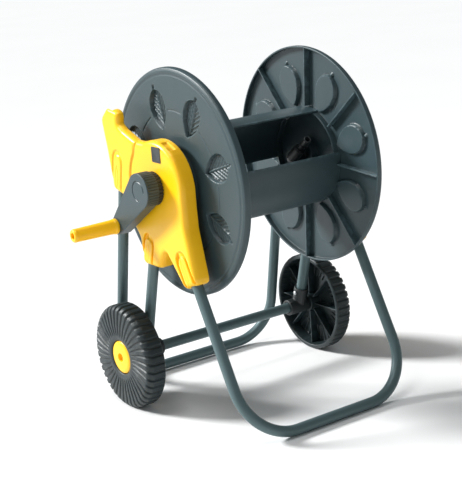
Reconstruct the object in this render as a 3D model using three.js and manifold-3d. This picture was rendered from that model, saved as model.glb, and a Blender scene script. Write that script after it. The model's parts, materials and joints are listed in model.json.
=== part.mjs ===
// Garden hose reel cart: a hand-cranked reel between two moulded side panels, carried by bent
// steel tubes, with a wheeled axle and a fold-down handle.
// Millimetres, +Z up. X runs along the reel axis with the crank on the -X side, and -Y is the
// side of the foot. While the pieces are made the origin is on the reel axis, midway between the
// flanges; at the end the whole cart is moved so that the origin is at its bottom centre.

import * as THREE from 'three';
import * as BufferGeometryUtils from 'three/addons/utils/BufferGeometryUtils.js';
import Module from 'manifold-3d';

const wasm = await Module();
wasm.setup();

// ---------------------------------------------------------------- driving dimensions

const gap = 0.3; // clearance between pieces that rest on or turn in each other
const overcut = 2; // how far a cutting shape runs past the face it opens

// Layout of the cart, seen from the side: heights and reaches from the reel axis
const axisHeight = 420.3; // reel axis above the ground
const footReach = 218; // foot crossbar forward of the reel axis
const wheelSetback = 102.7; // wheel axle behind the reel axis
const handleReach = 210.2; // folded handle crossbar behind the reel axis
const handleGroundGap = 2.2; // folded handle crossbar above the ground
const handlePivotBack = 121.6; // handle pivot behind the reel axis
const handlePivotUp = 40; // handle pivot above the reel axis
const wheelLegBack = 9.8; // where the line of the wheel legs passes the height of the reel axis

// Steel tubes
const tubeRadius = 9.75;
const tubeWall = 1.2;
const tubeSpread = 177; // centre of each upright tube from the middle of the cart
const footBendRadius = 95;
const handleBendRadius = 80;
const tubeTopClear = 62; // upper ends of the foot and wheel legs stop this far from the reel axis
const handleStub = 18; // handle tube past its pivot
const handleTravel = 155; // degrees that the handle turns, from hanging down to standing up
const bendSteps = 6;
const tubeSides = 12;

// Reel
const reelHalf = 147.35; // outer face of a flange from the middle of the reel
const flangeRadius = 200;
const flangePlate = 3;
const flangeLip = 12.5; // depth of the rim
const rimWall = 3.2;
const hubPadRadius = 62; // raised middle of the outer face
const hubPadRise = 2;
const drumRadius = 90;
const drumWall = 3;
const drumGapAngle = 60; // each of the two openings between the drum slats
const drumGapStart = 10; // front opening starts this far above the horizontal
const seatRingWall = 3;
const seatRingHeight = 11;
const hubBossRadius = 26;
const hubBossDepth = 18;
const flangeRibHeight = 11;
const flangeRibWall = 2.4;
const leafCount = 8;
const leafInner = 95; // pointed end of a leaf recess
const leafOuter = 166; // stem end
const leafWidth = 48;
const leafDepth = 7;
const leafTurn = 4; // turn of the leaves and ribs from the straight-back direction, in degrees
const flangeSides = 36;

// Reel shafts and water swivel
const shaftRadius = 14.5;
const keyRelief = 1.5; // how much smaller the square ends are than the shaft would allow
const bushRadius = 18.5;
const waterBore = 7.4;
const elbowReach = 62;
const elbowRadius = 11;
const elbowBore = 6;
const hoseTailRadius = 7;

// Side panels
const panelFront = 192; // outer face from the middle of the cart
const panelBack = 162; // edge that faces the flange
const panelWall = 2.6;
const panelRounding = 9; // rounding of the outer edge
const domeRadius = 81;
const socketWall = 3; // panel wall round a tube
const footSocketLength = 184; // lower end of the foot socket from the reel axis
const wheelSocketLength = 158;
const bearingBossRadius = 26;
const cheekWall = 3.4; // inner plate that closes the handle slot
const armTopDepth = 16; // the top of the arm is thinner than the rest of the panel
const legArch = { depth: 6, length: 50 }; // recess round the raised tongue of each leg socket
const armArch = { depth: 2.4, length: 62 }; // and round the tongue over the handle tube
const pivotPinRadius = 4;
const pivotPinSkin = 3.2; // panel left over the blind end of the pin's hole
const grooveWidth = 5; // groove between the arm and the dome
const grooveDepth = 1.2;

// Crank
const crankLength = 112.6; // reel axis to grip axis
const crankAngle = -41.6; // rest position, measured from straight back
const crankFace = 227; // outer face of the crank head
const crankDepth = 24;
const crankHeadRadius = 31.5;
const crankTipRadius = 16;
const crankWall = 3;
const collarRadius = 29.5;
const collarRibs = 12;
const spindleRadius = 4.6;
const gripRootRadius = 14;
const gripTipRadius = 11.8;
const gripLength = 88;
const gripBore = 5.7;

// Wheels
const wheelRadius = 96.25;
const wheelWidth = 38.4;
const wheelInnerFace = 197.2; // inner face from the middle of the cart
const rodRadius = 6;
const wheelHubRadius = 17;
const hubCapRadius = 30.5;
const hubCapSeat = 12; // depth of the cap's pocket
const hubCapRecess = 6; // depth of the round recess in the cap's middle
const hubCapRecessRadius = 8;
const hubCapWall = 2.4;
const wheelSides = 36;

// Axle fittings
const fittingRadius = 15.5;
const fittingInner = 148; // inner end of the crossbar socket
const fittingOuter = 194.4;
const legCollarRadius = 14.2;
const legCollarHeight = 40;
const crossbarEnd = 165; // end of the crossbar tube inside the fitting

const screwRadius = 2.2;
const screwHeadRadius = 4.2;
const screwHead = 2;

// ---------------------------------------------------------------- materials

function plastic(color, roughness) {
  return new THREE.MeshStandardMaterial({ color, roughness, metalness: 0 });
}

function metal(color, roughness) {
  return new THREE.MeshStandardMaterial({ color, roughness, metalness: 0.9 });
}

const yellowPlastic = plastic(0xffc21a, 0.42);
const reelPlastic = plastic(0x46565a, 0.5);
const blackPlastic = plastic(0x22282b, 0.55);
const wheelPlastic = plastic(0x2c3538, 0.62);
const acetal = plastic(0xe6e4dc, 0.35);
const rubber = plastic(0x151515, 0.8);
const tubePaint = new THREE.MeshStandardMaterial({ color: 0x4b6366, roughness: 0.35, metalness: 0.35 });
const zincSteel = metal(0xb8bcc0, 0.32);
const brass = metal(0xc9a24a, 0.3);

// ---------------------------------------------------------------- closed shapes

function toSolid(geometry) {
  const bare = geometry.clone();
  bare.deleteAttribute('normal');
  bare.deleteAttribute('uv');
  const merged = BufferGeometryUtils.mergeVertices(bare, 1e-4);
  return new wasm.Manifold(new wasm.Mesh({
    numProp: 3,
    vertProperties: new Float32Array(merged.attributes.position.array),
    triVerts: new Uint32Array(merged.index.array),
  }));
}

function toGeometry(solid) {
  const mesh = solid.getMesh();
  const geometry = new THREE.BufferGeometry();
  geometry.setAttribute('position', new THREE.BufferAttribute(new Float32Array(mesh.vertProperties), 3));
  geometry.setIndex(new THREE.BufferAttribute(new Uint32Array(mesh.triVerts), 1));
  return geometry;
}

function join(...geometries) {
  return toGeometry(geometries.map(toSolid).reduce((sum, next) => sum.add(next)));
}

function cut(base, ...tools) {
  return toGeometry(tools.map(toSolid).reduce((rest, tool) => rest.subtract(tool), toSolid(base)));
}

function common(first, second) {
  return toGeometry(toSolid(first).intersect(toSolid(second)));
}

// The same shape on the other side of the cart, with its faces still pointing out
function mirrored(geometry) {
  const copy = geometry.index ? geometry.clone() : BufferGeometryUtils.mergeVertices(geometry);
  copy.scale(-1, 1, 1);
  const index = copy.index.array;
  for (let i = 0; i < index.length; i += 3) {
    const first = index[i];
    index[i] = index[i + 1];
    index[i + 1] = first;
  }
  return copy;
}

// Turns a shape drawn as (back, up) and extruded towards +Z so that it stands in the cart's side
// plane: drawn X becomes Y, drawn Y becomes Z, and the extrusion runs along X
function standUp(geometry) {
  const basis = new THREE.Matrix4().makeBasis(
    new THREE.Vector3(0, 1, 0),
    new THREE.Vector3(0, 0, 1),
    new THREE.Vector3(1, 0, 0),
  );
  return geometry.applyMatrix4(basis);
}

// A flat shape of the side plane, between two distances along X
function slab(shape, fromX, toX, curveSegments = 1) {
  const geometry = new THREE.ExtrudeGeometry(shape, {
    depth: toX - fromX, bevelEnabled: false, steps: 1, curveSegments,
  });
  return standUp(geometry.translate(0, 0, fromX));
}

// A body of revolution about the X axis from a closed profile of [radius, x] points
function turned(profile, sides) {
  const points = profile.map(([radius, x]) => new THREE.Vector2(radius, x));
  points.push(points[0].clone());
  const geometry = new THREE.LatheGeometry(points, sides);
  geometry.rotateZ(-Math.PI / 2);
  return geometry;
}

// A body of revolution whose profile may be listed either way round: its faces point out
function lathed(profile, sides) {
  let area = 0;
  profile.forEach(([radius, x], i) => {
    const [nextRadius, nextX] = profile[(i + 1) % profile.length];
    area += radius * nextX - nextRadius * x;
  });
  const ordered = area > 0 ? profile : [...profile].reverse();
  return turned(ordered, sides);
}

// A ring or, with no bore, a plain rod between two distances along X
function sleeve(outer, bore, fromX, toX, sides) {
  return lathed([[bore, fromX], [outer, fromX], [outer, toX], [bore, toX]], sides);
}

// A round bar between two points
function bar(start, end, radius, sides = 16) {
  const span = new THREE.Vector3().subVectors(end, start);
  const geometry = new THREE.CylinderGeometry(radius, radius, span.length(), sides);
  const turn = new THREE.Quaternion().setFromUnitVectors(
    new THREE.Vector3(0, 1, 0),
    span.clone().normalize(),
  );
  geometry.applyQuaternion(turn);
  const middle = new THREE.Vector3().addVectors(start, end).multiplyScalar(0.5);
  return geometry.translate(middle.x, middle.y, middle.z);
}

function block(fromX, toX, fromY, toY, fromZ, toZ) {
  const geometry = new THREE.BoxGeometry(toX - fromX, toY - fromY, toZ - fromZ);
  return geometry.translate((fromX + toX) / 2, (fromY + toY) / 2, (fromZ + toZ) / 2);
}

// ---------------------------------------------------------------- lines of the side view

const tubeGroundZ = tubeRadius - axisHeight; // centre height of a tube that lies on the ground

// A straight run in the side plane; points beside it are given by the distance along it and
// the distance to its rear side
class Line {
  constructor(start, end) {
    this.start = start;
    this.length = start.distanceTo(end);
    this.direction = new THREE.Vector2().subVectors(end, start).normalize();
    this.side = new THREE.Vector2(-this.direction.y, this.direction.x);
  }

  point(along, beside = 0) {
    return this.start.clone()
      .addScaledVector(this.direction, along)
      .addScaledVector(this.side, beside);
  }

  // The same point in the cart, at a distance x from its middle
  place(along, x, beside = 0) {
    const flat = this.point(along, beside);
    return new THREE.Vector3(x, flat.x, flat.y);
  }
}

const footLine = new Line(
  new THREE.Vector2(0, 0),
  new THREE.Vector2(-footReach, tubeGroundZ),
);
const wheelCentre = new THREE.Vector2(wheelSetback, wheelRadius - axisHeight);
const wheelLine = new Line(new THREE.Vector2(wheelLegBack, 0), wheelCentre);
const handlePivot = new THREE.Vector2(handlePivotBack, handlePivotUp);
const handleLine = new Line(
  handlePivot,
  new THREE.Vector2(handleReach, tubeGroundZ + handleGroundGap),
);

// ---------------------------------------------------------------- bent tubes

// A path through given stations, one step each, so that straight runs stay single pieces
class StationPath extends THREE.Curve {
  constructor(stations) {
    super();
    this.stations = stations;
  }

  getPointAt(u) {
    return this.stations[Math.round(u * (this.stations.length - 1))].point.clone();
  }

  getTangentAt(u) {
    return this.stations[Math.round(u * (this.stations.length - 1))].tangent.clone();
  }

  getPoint(t) {
    return this.getPointAt(t);
  }
}

function circlePoints(radius, sides, turn) {
  return Array.from({ length: sides }, (_, i) => {
    const angle = (2 * Math.PI * (i + 0.5)) / sides + turn;
    return new THREE.Vector2(radius * Math.cos(angle), radius * Math.sin(angle));
  });
}

// Section of a tube; its flats lie at the tube's radius and `turn` rotates them
function tubeSection(turn) {
  const cornerRadius = tubeRadius / Math.cos(Math.PI / tubeSides);
  const section = new THREE.Shape(circlePoints(cornerRadius, tubeSides, turn));
  const bore = circlePoints(tubeRadius - tubeWall, tubeSides, turn).reverse();
  section.holes.push(new THREE.Path(bore));
  return section;
}

function sweptTube(stations, turn = 0) {
  return new THREE.ExtrudeGeometry(tubeSection(turn), {
    steps: stations.length - 1,
    extrudePath: new StationPath(stations),
    bevelEnabled: false,
  });
}

// Stations of a U that goes down a line on the -X side, across, and up again on the +X side
function hoopStations(line, from, bendRadius) {
  const down = new THREE.Vector3(0, line.direction.x, line.direction.y);
  const across = new THREE.Vector3(1, 0, 0);
  const stations = [{ point: line.place(from, -tubeSpread), tangent: down.clone() }];
  for (let side = -1; side <= 1; side += 2) {
    const centre = line.place(line.length - bendRadius, side * (tubeSpread - bendRadius));
    for (let i = 0; i <= bendSteps; i += 1) {
      const angle = (Math.PI / 2) * (i / bendSteps);
      const turn = side < 0 ? angle : Math.PI / 2 - angle;
      const point = centre.clone()
        .addScaledVector(across, side * bendRadius * Math.cos(turn))
        .addScaledVector(down, bendRadius * Math.sin(turn));
      const tangent = new THREE.Vector3()
        .addScaledVector(across, Math.sin(turn))
        .addScaledVector(down, -side * Math.cos(turn));
      stations.push({ point, tangent });
    }
  }
  stations.push({ point: line.place(from, tubeSpread), tangent: down.clone().negate() });
  return stations;
}

const screwAlong = 14; // tube screw from the open end of a socket
const screwSeat = tubeSpread - tubeRadius - gap - socketWall + 1; // under a tube screw's head

// Cross hole for a screw that enters from inside the cart
function screwHole(line, along, side) {
  const inner = line.place(along, side * (tubeSpread - tubeRadius - overcut));
  const outer = line.place(along, side * tubeSpread);
  return bar(inner, outer, screwRadius + gap, 8);
}

function footTube() {
  const lean = Math.atan2(-footLine.direction.x, -footLine.direction.y);
  const hoop = sweptTube(hoopStations(footLine, tubeTopClear, footBendRadius), lean);
  const holes = [-1, 1].map((side) => screwHole(footLine, footSocketLength - screwAlong, side));
  return cut(hoop, ...holes);
}

function handleTube() {
  const hoop = sweptTube(hoopStations(handleLine, -handleStub, handleBendRadius));
  const reach = tubeSpread + tubeRadius + overcut;
  const hole = bar(handleLine.place(0, -reach), handleLine.place(0, reach), pivotPinRadius + gap, 12);
  return cut(hoop, hole);
}

const legEnd = rodRadius + 6; // lower end of a wheel leg stops this far above the axle
const fittingScrewAlong = wheelLine.length - 30;

function wheelLeg(side) {
  const down = new THREE.Vector3(0, wheelLine.direction.x, wheelLine.direction.y);
  const ends = [tubeTopClear, wheelLine.length - legEnd];
  const tube = sweptTube(ends.map((along) => ({
    point: wheelLine.place(along, side * tubeSpread),
    tangent: down.clone(),
  })));
  return cut(
    tube,
    screwHole(wheelLine, wheelSocketLength - screwAlong, side),
    screwHole(wheelLine, fittingScrewAlong, side),
  );
}

function crossbarTube() {
  const across = new THREE.Vector3(1, 0, 0);
  return sweptTube([-crossbarEnd, crossbarEnd].map((x) => ({
    point: new THREE.Vector3(x, wheelCentre.x, wheelCentre.y),
    tangent: across.clone(),
  })));
}

// ---------------------------------------------------------------- side panel

// A closed outline through corner points, each [point, rounding radius]
function roundedOutline(corners) {
  const points = [];
  const arcSteps = 2;
  corners.forEach(([corner, radius], i) => {
    if (radius === 0) {
      points.push(corner.clone());
      return;
    }
    const before = corners[(i + corners.length - 1) % corners.length][0];
    const after = corners[(i + 1) % corners.length][0];
    const towardsBefore = before.clone().sub(corner).normalize();
    const towardsAfter = after.clone().sub(corner).normalize();
    const half = Math.acos(towardsBefore.dot(towardsAfter)) / 2;
    const bisector = towardsBefore.clone().add(towardsAfter).normalize();
    const centre = corner.clone().addScaledVector(bisector, radius / Math.sin(half));
    const enter = corner.clone().addScaledVector(towardsBefore, radius / Math.tan(half)).sub(centre);
    const turn = Math.PI - 2 * half;
    const direction = Math.sign(towardsBefore.cross(towardsAfter));
    for (let step = 0; step <= arcSteps; step += 1) {
      const spoke = enter.clone().rotateAround(new THREE.Vector2(), (-direction * turn * step) / arcSteps);
      points.push(centre.clone().add(spoke));
    }
  });
  return new THREE.Shape(points);
}

function polar(radius, degrees) {
  const angle = THREE.MathUtils.degToRad(degrees);
  return new THREE.Vector2(radius * Math.cos(angle), radius * Math.sin(angle));
}

const socketRadius = tubeRadius + gap + socketWall;
const tubeRoom = tubeRadius + gap + 0.35; // bore of a socket, clear of the tube's corners
const handleArchEnd = 68; // lower end of the arm, along the handle tube
const armTopBack = domeRadius * 0.54; // the thinner top of the arm starts here, behind the reel axis
const armTopUp = handlePivotUp + 22; // and here, above it
const roomSides = 20;
const boreSides = 20;

// The panel's outline: an arm with a hooked top, the dome over the reel axis, and two legs
function panelOutline() {
  const corners = [
    [handleLine.point(handleArchEnd, socketRadius), 10], // lower end of the arm
    [handleLine.point(2, 38), 30],
    [handleLine.point(-52, 62), 14], // top of the arm
    [handleLine.point(-78, 42), 12],
    [handleLine.point(-80, 2), 10],
    [handleLine.point(-58, 3), 6], // notch under the hook
    [handleLine.point(-52, -14), 10],
    [polar(domeRadius + 13, 52), 8], // where the arm meets the dome
  ];
  for (let degrees = 66; degrees <= 186; degrees += 8) {
    corners.push([polar(domeRadius, degrees), 0]);
  }
  corners.push(
    [footLine.point(92, -44), 60], // waist above the front leg
    [footLine.point(footSocketLength, -20), 10],
    [footLine.point(footSocketLength - 3, 22), 10],
    [footLine.point(104, 41), 5], // notch between the legs
    [wheelLine.point(142, -40), 10],
    [wheelLine.point(wheelSocketLength, socketRadius), 10],
    [wheelLine.point(112, 30), 20],
    [handleLine.point(104, -44), 12],
    [handleLine.point(70, -32), 10],
  );
  return roundedOutline(corners);
}

// The outline as a solid whose outer edge is rounded by the bevel; `inset` shrinks it all round
function panelBody(inset, frontX, backX) {
  const bevel = panelRounding - inset;
  const geometry = new THREE.ExtrudeGeometry(panelOutline(), {
    depth: frontX - backX,
    bevelEnabled: true,
    bevelThickness: bevel,
    bevelSize: bevel,
    bevelOffset: -bevel - inset,
    bevelSegments: 3,
    steps: 1,
  });
  const solid = standUp(geometry.translate(0, 0, backX));
  const deep = block(backX - 3 * bevel, backX, -400, 400, -400, 400);
  return cut(solid, deep);
}

function socketSleeve(line, from, to, radius, sides) {
  return bar(line.place(from, tubeSpread), line.place(to, tubeSpread), radius, sides);
}

// A strip along a line of the side view with a round top, from `start` down to `end`
function archShape(line, reach, start, end) {
  const shape = new THREE.Shape();
  const lower = line.point(end, -reach);
  shape.moveTo(lower.x, lower.y);
  const arcSteps = 5;
  for (let i = arcSteps; i >= 0; i -= 1) {
    const angle = (Math.PI * i) / arcSteps;
    const point = line.point(start - reach * Math.sin(angle), reach * Math.cos(angle));
    shape.lineTo(point.x, point.y);
  }
  const rearLower = line.point(end, reach);
  shape.lineTo(rearLower.x, rearLower.y);
  shape.closePath();
  return shape;
}

const archReach = socketRadius + 4; // half width of the recess
const tongueReach = socketRadius - 1; // half width of the tongue inside it
const tongueDrop = 6; // top of the tongue below the top of the recess

// Recess with an arched top round the raised tongue that covers a tube end
function archRecess(line, end, openEnd, arch) {
  const from = end - arch.length;
  const floor = panelFront - arch.depth;
  const wide = slab(archShape(line, archReach, from, openEnd), floor, panelFront + overcut);
  const tongueShape = archShape(line, tongueReach, from + tongueDrop, openEnd);
  return cut(wide, slab(tongueShape, floor - overcut, panelFront + 2 * overcut));
}

// Thickens the panel from inside where an arched recess is cut into it
function archBacking(line, end, arch) {
  const floor = panelFront - arch.depth;
  const shape = archShape(line, archReach + panelWall, end - arch.length, end);
  return slab(shape, floor - panelWall, floor + 1);
}

function legSocket(line, end) {
  return socketSleeve(line, tubeTopClear - 6, end - 2, socketRadius, 14);
}

// The recess of a leg stops at the wall of its socket
function legRecess(line, end) {
  return cut(archRecess(line, end, end + 20, legArch), legSocket(line, end));
}

// Made on the +X side; the crank side is its mirror image
function sidePanel() {
  const outer = panelBody(0, panelFront - panelRounding, panelBack);
  const inner = panelBody(
    panelWall,
    panelFront - panelRounding,
    panelBack - overcut,
  );
  const shell = cut(outer, inner);

  // Sockets and the bearing boss fill the shell, and are trimmed to its outline
  const bossBack = panelBack + 1;
  const fill = join(
    sleeve(bearingBossRadius, bushRadius, bossBack, panelFront - 1, boreSides),
    legSocket(footLine, footSocketLength),
    legSocket(wheelLine, wheelSocketLength),
    archBacking(footLine, footSocketLength, legArch),
    archBacking(wheelLine, wheelSocketLength, legArch),
    archBacking(handleLine, handleArchEnd, armArch),
  );
  const cheek = common(
    slab(panelOutline(), panelBack, panelBack + cheekWall),
    block(panelBack - 1, panelFront, 66, 400, -60, 400),
  );
  const pivotBoss = bar(
    handleLine.place(0, tubeSpread + tubeRadius + 2 * gap),
    handleLine.place(0, panelFront - 1),
    pivotPinRadius + 4,
    16,
  );
  const body = join(shell, common(fill, outer), cheek, pivotBoss);
  const armTopFloor = panelFront - armTopDepth;
  const armTopSpace = block(panelBack - overcut, armTopFloor, armTopBack, 400, armTopUp, 400);

  // Room for the tubes
  const cuts = [
    socketSleeve(footLine, tubeTopClear - gap, footSocketLength + 20, tubeRoom, roomSides),
    socketSleeve(wheelLine, tubeTopClear - gap, wheelSocketLength + 20, tubeRoom, roomSides),
    sleeve(bushRadius + gap, 0, panelBack - 5, panelFront - 6, boreSides),
    sleeve(shaftRadius + 1, 0, panelBack - 5, panelFront + 5, boreSides),
    handleSweep(),
    bar(
      handleLine.place(0, panelBack - 5),
      handleLine.place(0, panelFront - pivotPinSkin),
      pivotPinRadius + gap,
    ),
    legRecess(footLine, footSocketLength),
    legRecess(wheelLine, wheelSocketLength),
    archRecess(handleLine, handleArchEnd, handleArchEnd + 22, armArch),
    armGroove(),
    armTopSpace,
  ];
  [[footLine, footSocketLength], [wheelLine, wheelSocketLength]].forEach(([line, length]) => {
    const along = length - screwAlong;
    cuts.push(bar(line.place(along, panelBack - 8), line.place(along, tubeSpread), screwRadius + gap, 8));
    cuts.push(bar(line.place(along, panelBack - 8), line.place(along, screwSeat - gap), screwHeadRadius + gap, 12));
  });
  return cut(body, ...cuts);
}

// The wedge that the handle tube sweeps, from hanging down to standing up
function handleSweep() {
  const clearance = tubeRadius + 1.2;
  const reach = 140;
  const sweep = new THREE.Shape();
  const start = handleLine.point(reach, -clearance);
  sweep.moveTo(start.x, start.y);
  const rest = Math.atan2(handleLine.direction.y, handleLine.direction.x);
  const steps = 8;
  for (let i = 0; i <= steps; i += 1) {
    const angle = rest + THREE.MathUtils.degToRad((handleTravel * i) / steps);
    sweep.lineTo(
      handlePivot.x + 1.3 * reach * Math.cos(angle),
      handlePivot.y + 1.3 * reach * Math.sin(angle),
    );
  }
  const last = rest + THREE.MathUtils.degToRad(handleTravel);
  const across = new THREE.Vector2(-Math.sin(last), Math.cos(last));
  const along = new THREE.Vector2(Math.cos(last), Math.sin(last));
  const top = handlePivot.clone().addScaledVector(along, reach).addScaledVector(across, clearance);
  const topRoot = handlePivot.clone().addScaledVector(across, clearance);
  sweep.lineTo(top.x, top.y);
  sweep.lineTo(topRoot.x, topRoot.y);
  const root = handleLine.point(0, -clearance);
  sweep.lineTo(root.x, root.y);
  sweep.closePath();
  const fromX = tubeSpread - tubeRadius - gap - 0.6;
  const toX = tubeSpread + tubeRadius + gap + 0.3;
  const wedge = slab(sweep, fromX, toX);
  const stub = bar(
    new THREE.Vector3(fromX, handlePivot.x, handlePivot.y),
    new THREE.Vector3(toX, handlePivot.x, handlePivot.y),
    Math.hypot(handleStub, tubeRadius) + 1.5,
    16,
  );
  return join(wedge, stub);
}

function armGroove() {
  const top = polar(domeRadius + 20, 52);
  const bottom = polar(domeRadius - 1, 2);
  const bend = polar(domeRadius + 2, 38);
  const shape = new THREE.Shape();
  const path = [top, bend, bottom];
  path.forEach((point, i) => {
    const place = point.clone().setLength(point.length() + grooveWidth / 2);
    if (i === 0) {
      shape.moveTo(place.x, place.y);
    } else {
      shape.lineTo(place.x, place.y);
    }
  });
  path.reverse().forEach((point) => {
    const place = point.clone().setLength(point.length() - grooveWidth / 2);
    shape.lineTo(place.x, place.y);
  });
  shape.closePath();
  return slab(shape, panelFront - grooveDepth, panelFront + overcut);
}

// ---------------------------------------------------------------- reel

const keyWidth = shaftRadius * Math.SQRT2 - keyRelief; // square ends that drive the flanges and the crank
const slatInner = drumRadius - drumWall;
const slatSweep = 180 - drumGapAngle;
const slatSteps = 12;
const slatFlat = Math.cos(THREE.MathUtils.degToRad(slatSweep / slatSteps / 2));
const seatRingOuter = slatInner * slatFlat - gap; // clear of the flats inside the slats
const hubOuterFace = reelHalf + hubPadRise;
const hubInnerFace = reelHalf - hubBossDepth;
const keyHole = keyWidth / 2 + gap;

// One leaf recess, pointing at the hub; `grow` widens it all round
function leafShape(grow) {
  const half = leafWidth / 2 + grow;
  const inner = leafInner - 1.3 * grow;
  const outer = leafOuter + grow;
  const belly = leafInner + 0.58 * (leafOuter - leafInner);
  const shape = new THREE.Shape();
  shape.moveTo(inner, 0);
  shape.quadraticCurveTo(inner + 20, -half * 0.95, belly, -half);
  shape.quadraticCurveTo(outer - 6, -half, outer, 0);
  shape.quadraticCurveTo(outer - 6, half, belly, half);
  shape.quadraticCurveTo(inner + 20, half * 0.95, inner, 0);
  return shape;
}

function aroundAxis(geometry, degrees) {
  return geometry.clone().rotateX(THREE.MathUtils.degToRad(degrees));
}

const drumScrewAngles = [130, -50]; // middle of each slat, up from the front
const drumScrewX = reelHalf - flangePlate - seatRingHeight / 2;

// A small round hole or screw that points away from the reel axis, up from the front
function radialBar(fromRadius, toRadius, x, degrees, radius, sides) {
  const angle = THREE.MathUtils.degToRad(180 - degrees);
  const place = (reach) => new THREE.Vector3(x, reach * Math.cos(angle), reach * Math.sin(angle));
  return bar(place(fromRadius), place(toRadius), radius, sides);
}

// Made on the +X side: plate with a rim turned towards the hose, hub boss, seat ring for the
// drum slats, radial ribs and leaf-shaped recesses
function flange() {
  const face = reelHalf;
  const back = reelHalf - flangePlate;
  const bareHole = keyWidth / 2 - 1;
  const disc = lathed([
    [bareHole, hubOuterFace],
    [hubPadRadius, hubOuterFace],
    [hubPadRadius + 2, face],
    [flangeRadius - 6, face],
    [flangeRadius - 1.6, face - 1.6],
    [flangeRadius, face - 5],
    [flangeRadius, face - flangeLip],
    [flangeRadius - rimWall, face - flangeLip],
    [flangeRadius - rimWall, back],
    [seatRingOuter, back],
    [seatRingOuter, back - seatRingHeight],
    [seatRingOuter - seatRingWall, back - seatRingHeight],
    [seatRingOuter - seatRingWall, back],
    [hubBossRadius, back],
    [hubBossRadius, hubInnerFace],
    [bareHole, hubInnerFace],
  ], flangeSides);
  const bulge = slab(leafShape(flangePlate * 0.9), back - leafDepth, back + 1, 2);
  const recess = slab(leafShape(0), face - leafDepth, face + overcut, 2);
  const rib = block(
    back - flangeRibHeight, back + 1,
    drumRadius + 2, flangeRadius - rimWall + 1,
    -flangeRibWall / 2, flangeRibWall / 2,
  );
  const added = [];
  const removed = [block(hubInnerFace - 1, hubOuterFace + 1, -keyHole, keyHole, -keyHole, keyHole)];
  const step = 360 / leafCount;
  for (let i = 0; i < leafCount; i += 1) {
    added.push(aroundAxis(bulge, (i + 0.5) * step + leafTurn));
    added.push(aroundAxis(rib, i * step + leafTurn));
    removed.push(aroundAxis(recess, (i + 0.5) * step + leafTurn));
  }
  drumScrewAngles.forEach((degrees) => {
    removed.push(radialBar(seatRingOuter - 8, drumRadius, drumScrewX, degrees, screwRadius + gap, 8));
  });
  return cut(join(disc, ...added), ...removed);
}

const slatEnd = reelHalf - flangePlate - gap;

// A curved slat of the drum between two angles, measured up from the front
function drumSlat(fromDegrees, toDegrees) {
  const shape = new THREE.Shape();
  const at = (radius, i) => {
    const degrees = 180 - (fromDegrees + ((toDegrees - fromDegrees) * i) / slatSteps);
    return polar(radius, degrees);
  };
  for (let i = 0; i <= slatSteps; i += 1) {
    const point = at(drumRadius, i);
    if (i === 0) {
      shape.moveTo(point.x, point.y);
    } else {
      shape.lineTo(point.x, point.y);
    }
  }
  for (let i = slatSteps; i >= 0; i -= 1) {
    const point = at(slatInner, i);
    shape.lineTo(point.x, point.y);
  }
  shape.closePath();
  const middle = (fromDegrees + toDegrees) / 2;
  const holes = [-drumScrewX, drumScrewX].map((x) => (
    radialBar(slatInner - 2, drumRadius + 2, x, middle, screwRadius + gap, 8)
  ));
  return cut(slab(shape, -slatEnd, slatEnd), ...holes);
}

function drumScrew(x, degrees) {
  const headFrom = (seatRingOuter - seatRingWall) * slatFlat - gap - screwHead;
  return join(
    radialBar(headFrom, headFrom + screwHead, x, degrees, screwHeadRadius, 10),
    radialBar(headFrom + screwHead - 0.5, drumRadius - 0.5, x, degrees, screwRadius, 8),
  );
}

function squareBar(fromX, toX) {
  const half = keyWidth / 2;
  return block(fromX, toX, -half, half, -half, half);
}

const shaftShoulder = hubOuterFace + gap;
const collarInner = panelFront + 1;
const collarOuter = crankFace - crankDepth - gap;
const crankKeyEnd = crankFace - 5;

// Drives the reel: square in the flange and in the crank, round in the bush. Made on +X
function crankShaft() {
  const body = join(
    squareBar(hubInnerFace - 1, shaftShoulder + 1),
    sleeve(shaftRadius, 0, shaftShoulder, collarOuter, 32),
    squareBar(collarOuter - 1, crankKeyEnd),
  );
  const pilot = sleeve(screwRadius + gap, 0, hubInnerFace - 2, hubInnerFace + 14, 8);
  return cut(body, pilot);
}

// Holds the crank shaft in its flange from inside the drum
function hubScrew() {
  const washerFace = hubInnerFace - 1 - gap;
  return join(
    sleeve(13, 0, washerFace - 1.5, washerFace, 20),
    sleeve(screwHeadRadius, 0, washerFace - 3.5, washerFace - 1, 12),
    sleeve(screwRadius, 0, washerFace - 1, hubInnerFace + 12, 8),
  );
}

const waterShaftEnd = 188;

function waterShaft() {
  const body = join(
    squareBar(hubInnerFace - 1, shaftShoulder + 1),
    sleeve(shaftRadius, 0, shaftShoulder, waterShaftEnd, 32),
  );
  return cut(body, sleeve(waterBore, 0, hubInnerFace - 3, waterShaftEnd + 2, 20));
}

// Takes the water from the shaft to the hose tail in the front opening of the drum
function outletElbow() {
  const bend = hubInnerFace - 24;
  const towards = drumGapStart + drumGapAngle / 2;
  const shoulder = hubInnerFace - 1 - gap;
  const along = (radius, from, to) => radialBar(from, to, bend, towards, radius, 12);
  const ball = new THREE.SphereGeometry(elbowRadius, 12, 6).translate(bend, 0, 0);
  const body = join(
    sleeve(13, 0, shoulder - 3, shoulder, 16),
    sleeve(elbowRadius, 0, bend, shoulder - 1, 12),
    sleeve(waterBore - 2 * gap, 0, shoulder - 1, hubInnerFace + 12, 12),
    ball,
    along(elbowRadius, 0, elbowReach * 0.5),
    along(hoseTailRadius, 0, elbowReach),
    along(hoseTailRadius + 1, elbowReach - 20, elbowReach - 17),
    along(hoseTailRadius + 1, elbowReach - 4, elbowReach - 1),
  );
  return cut(
    body,
    sleeve(elbowBore - 1, 0, bend, hubInnerFace + 14, 12),
    along(elbowBore - 1, 0, elbowReach + 2),
  );
}

const bushInner = panelBack + 0.8;
const bushOuter = panelFront - 6 - gap;

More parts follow.
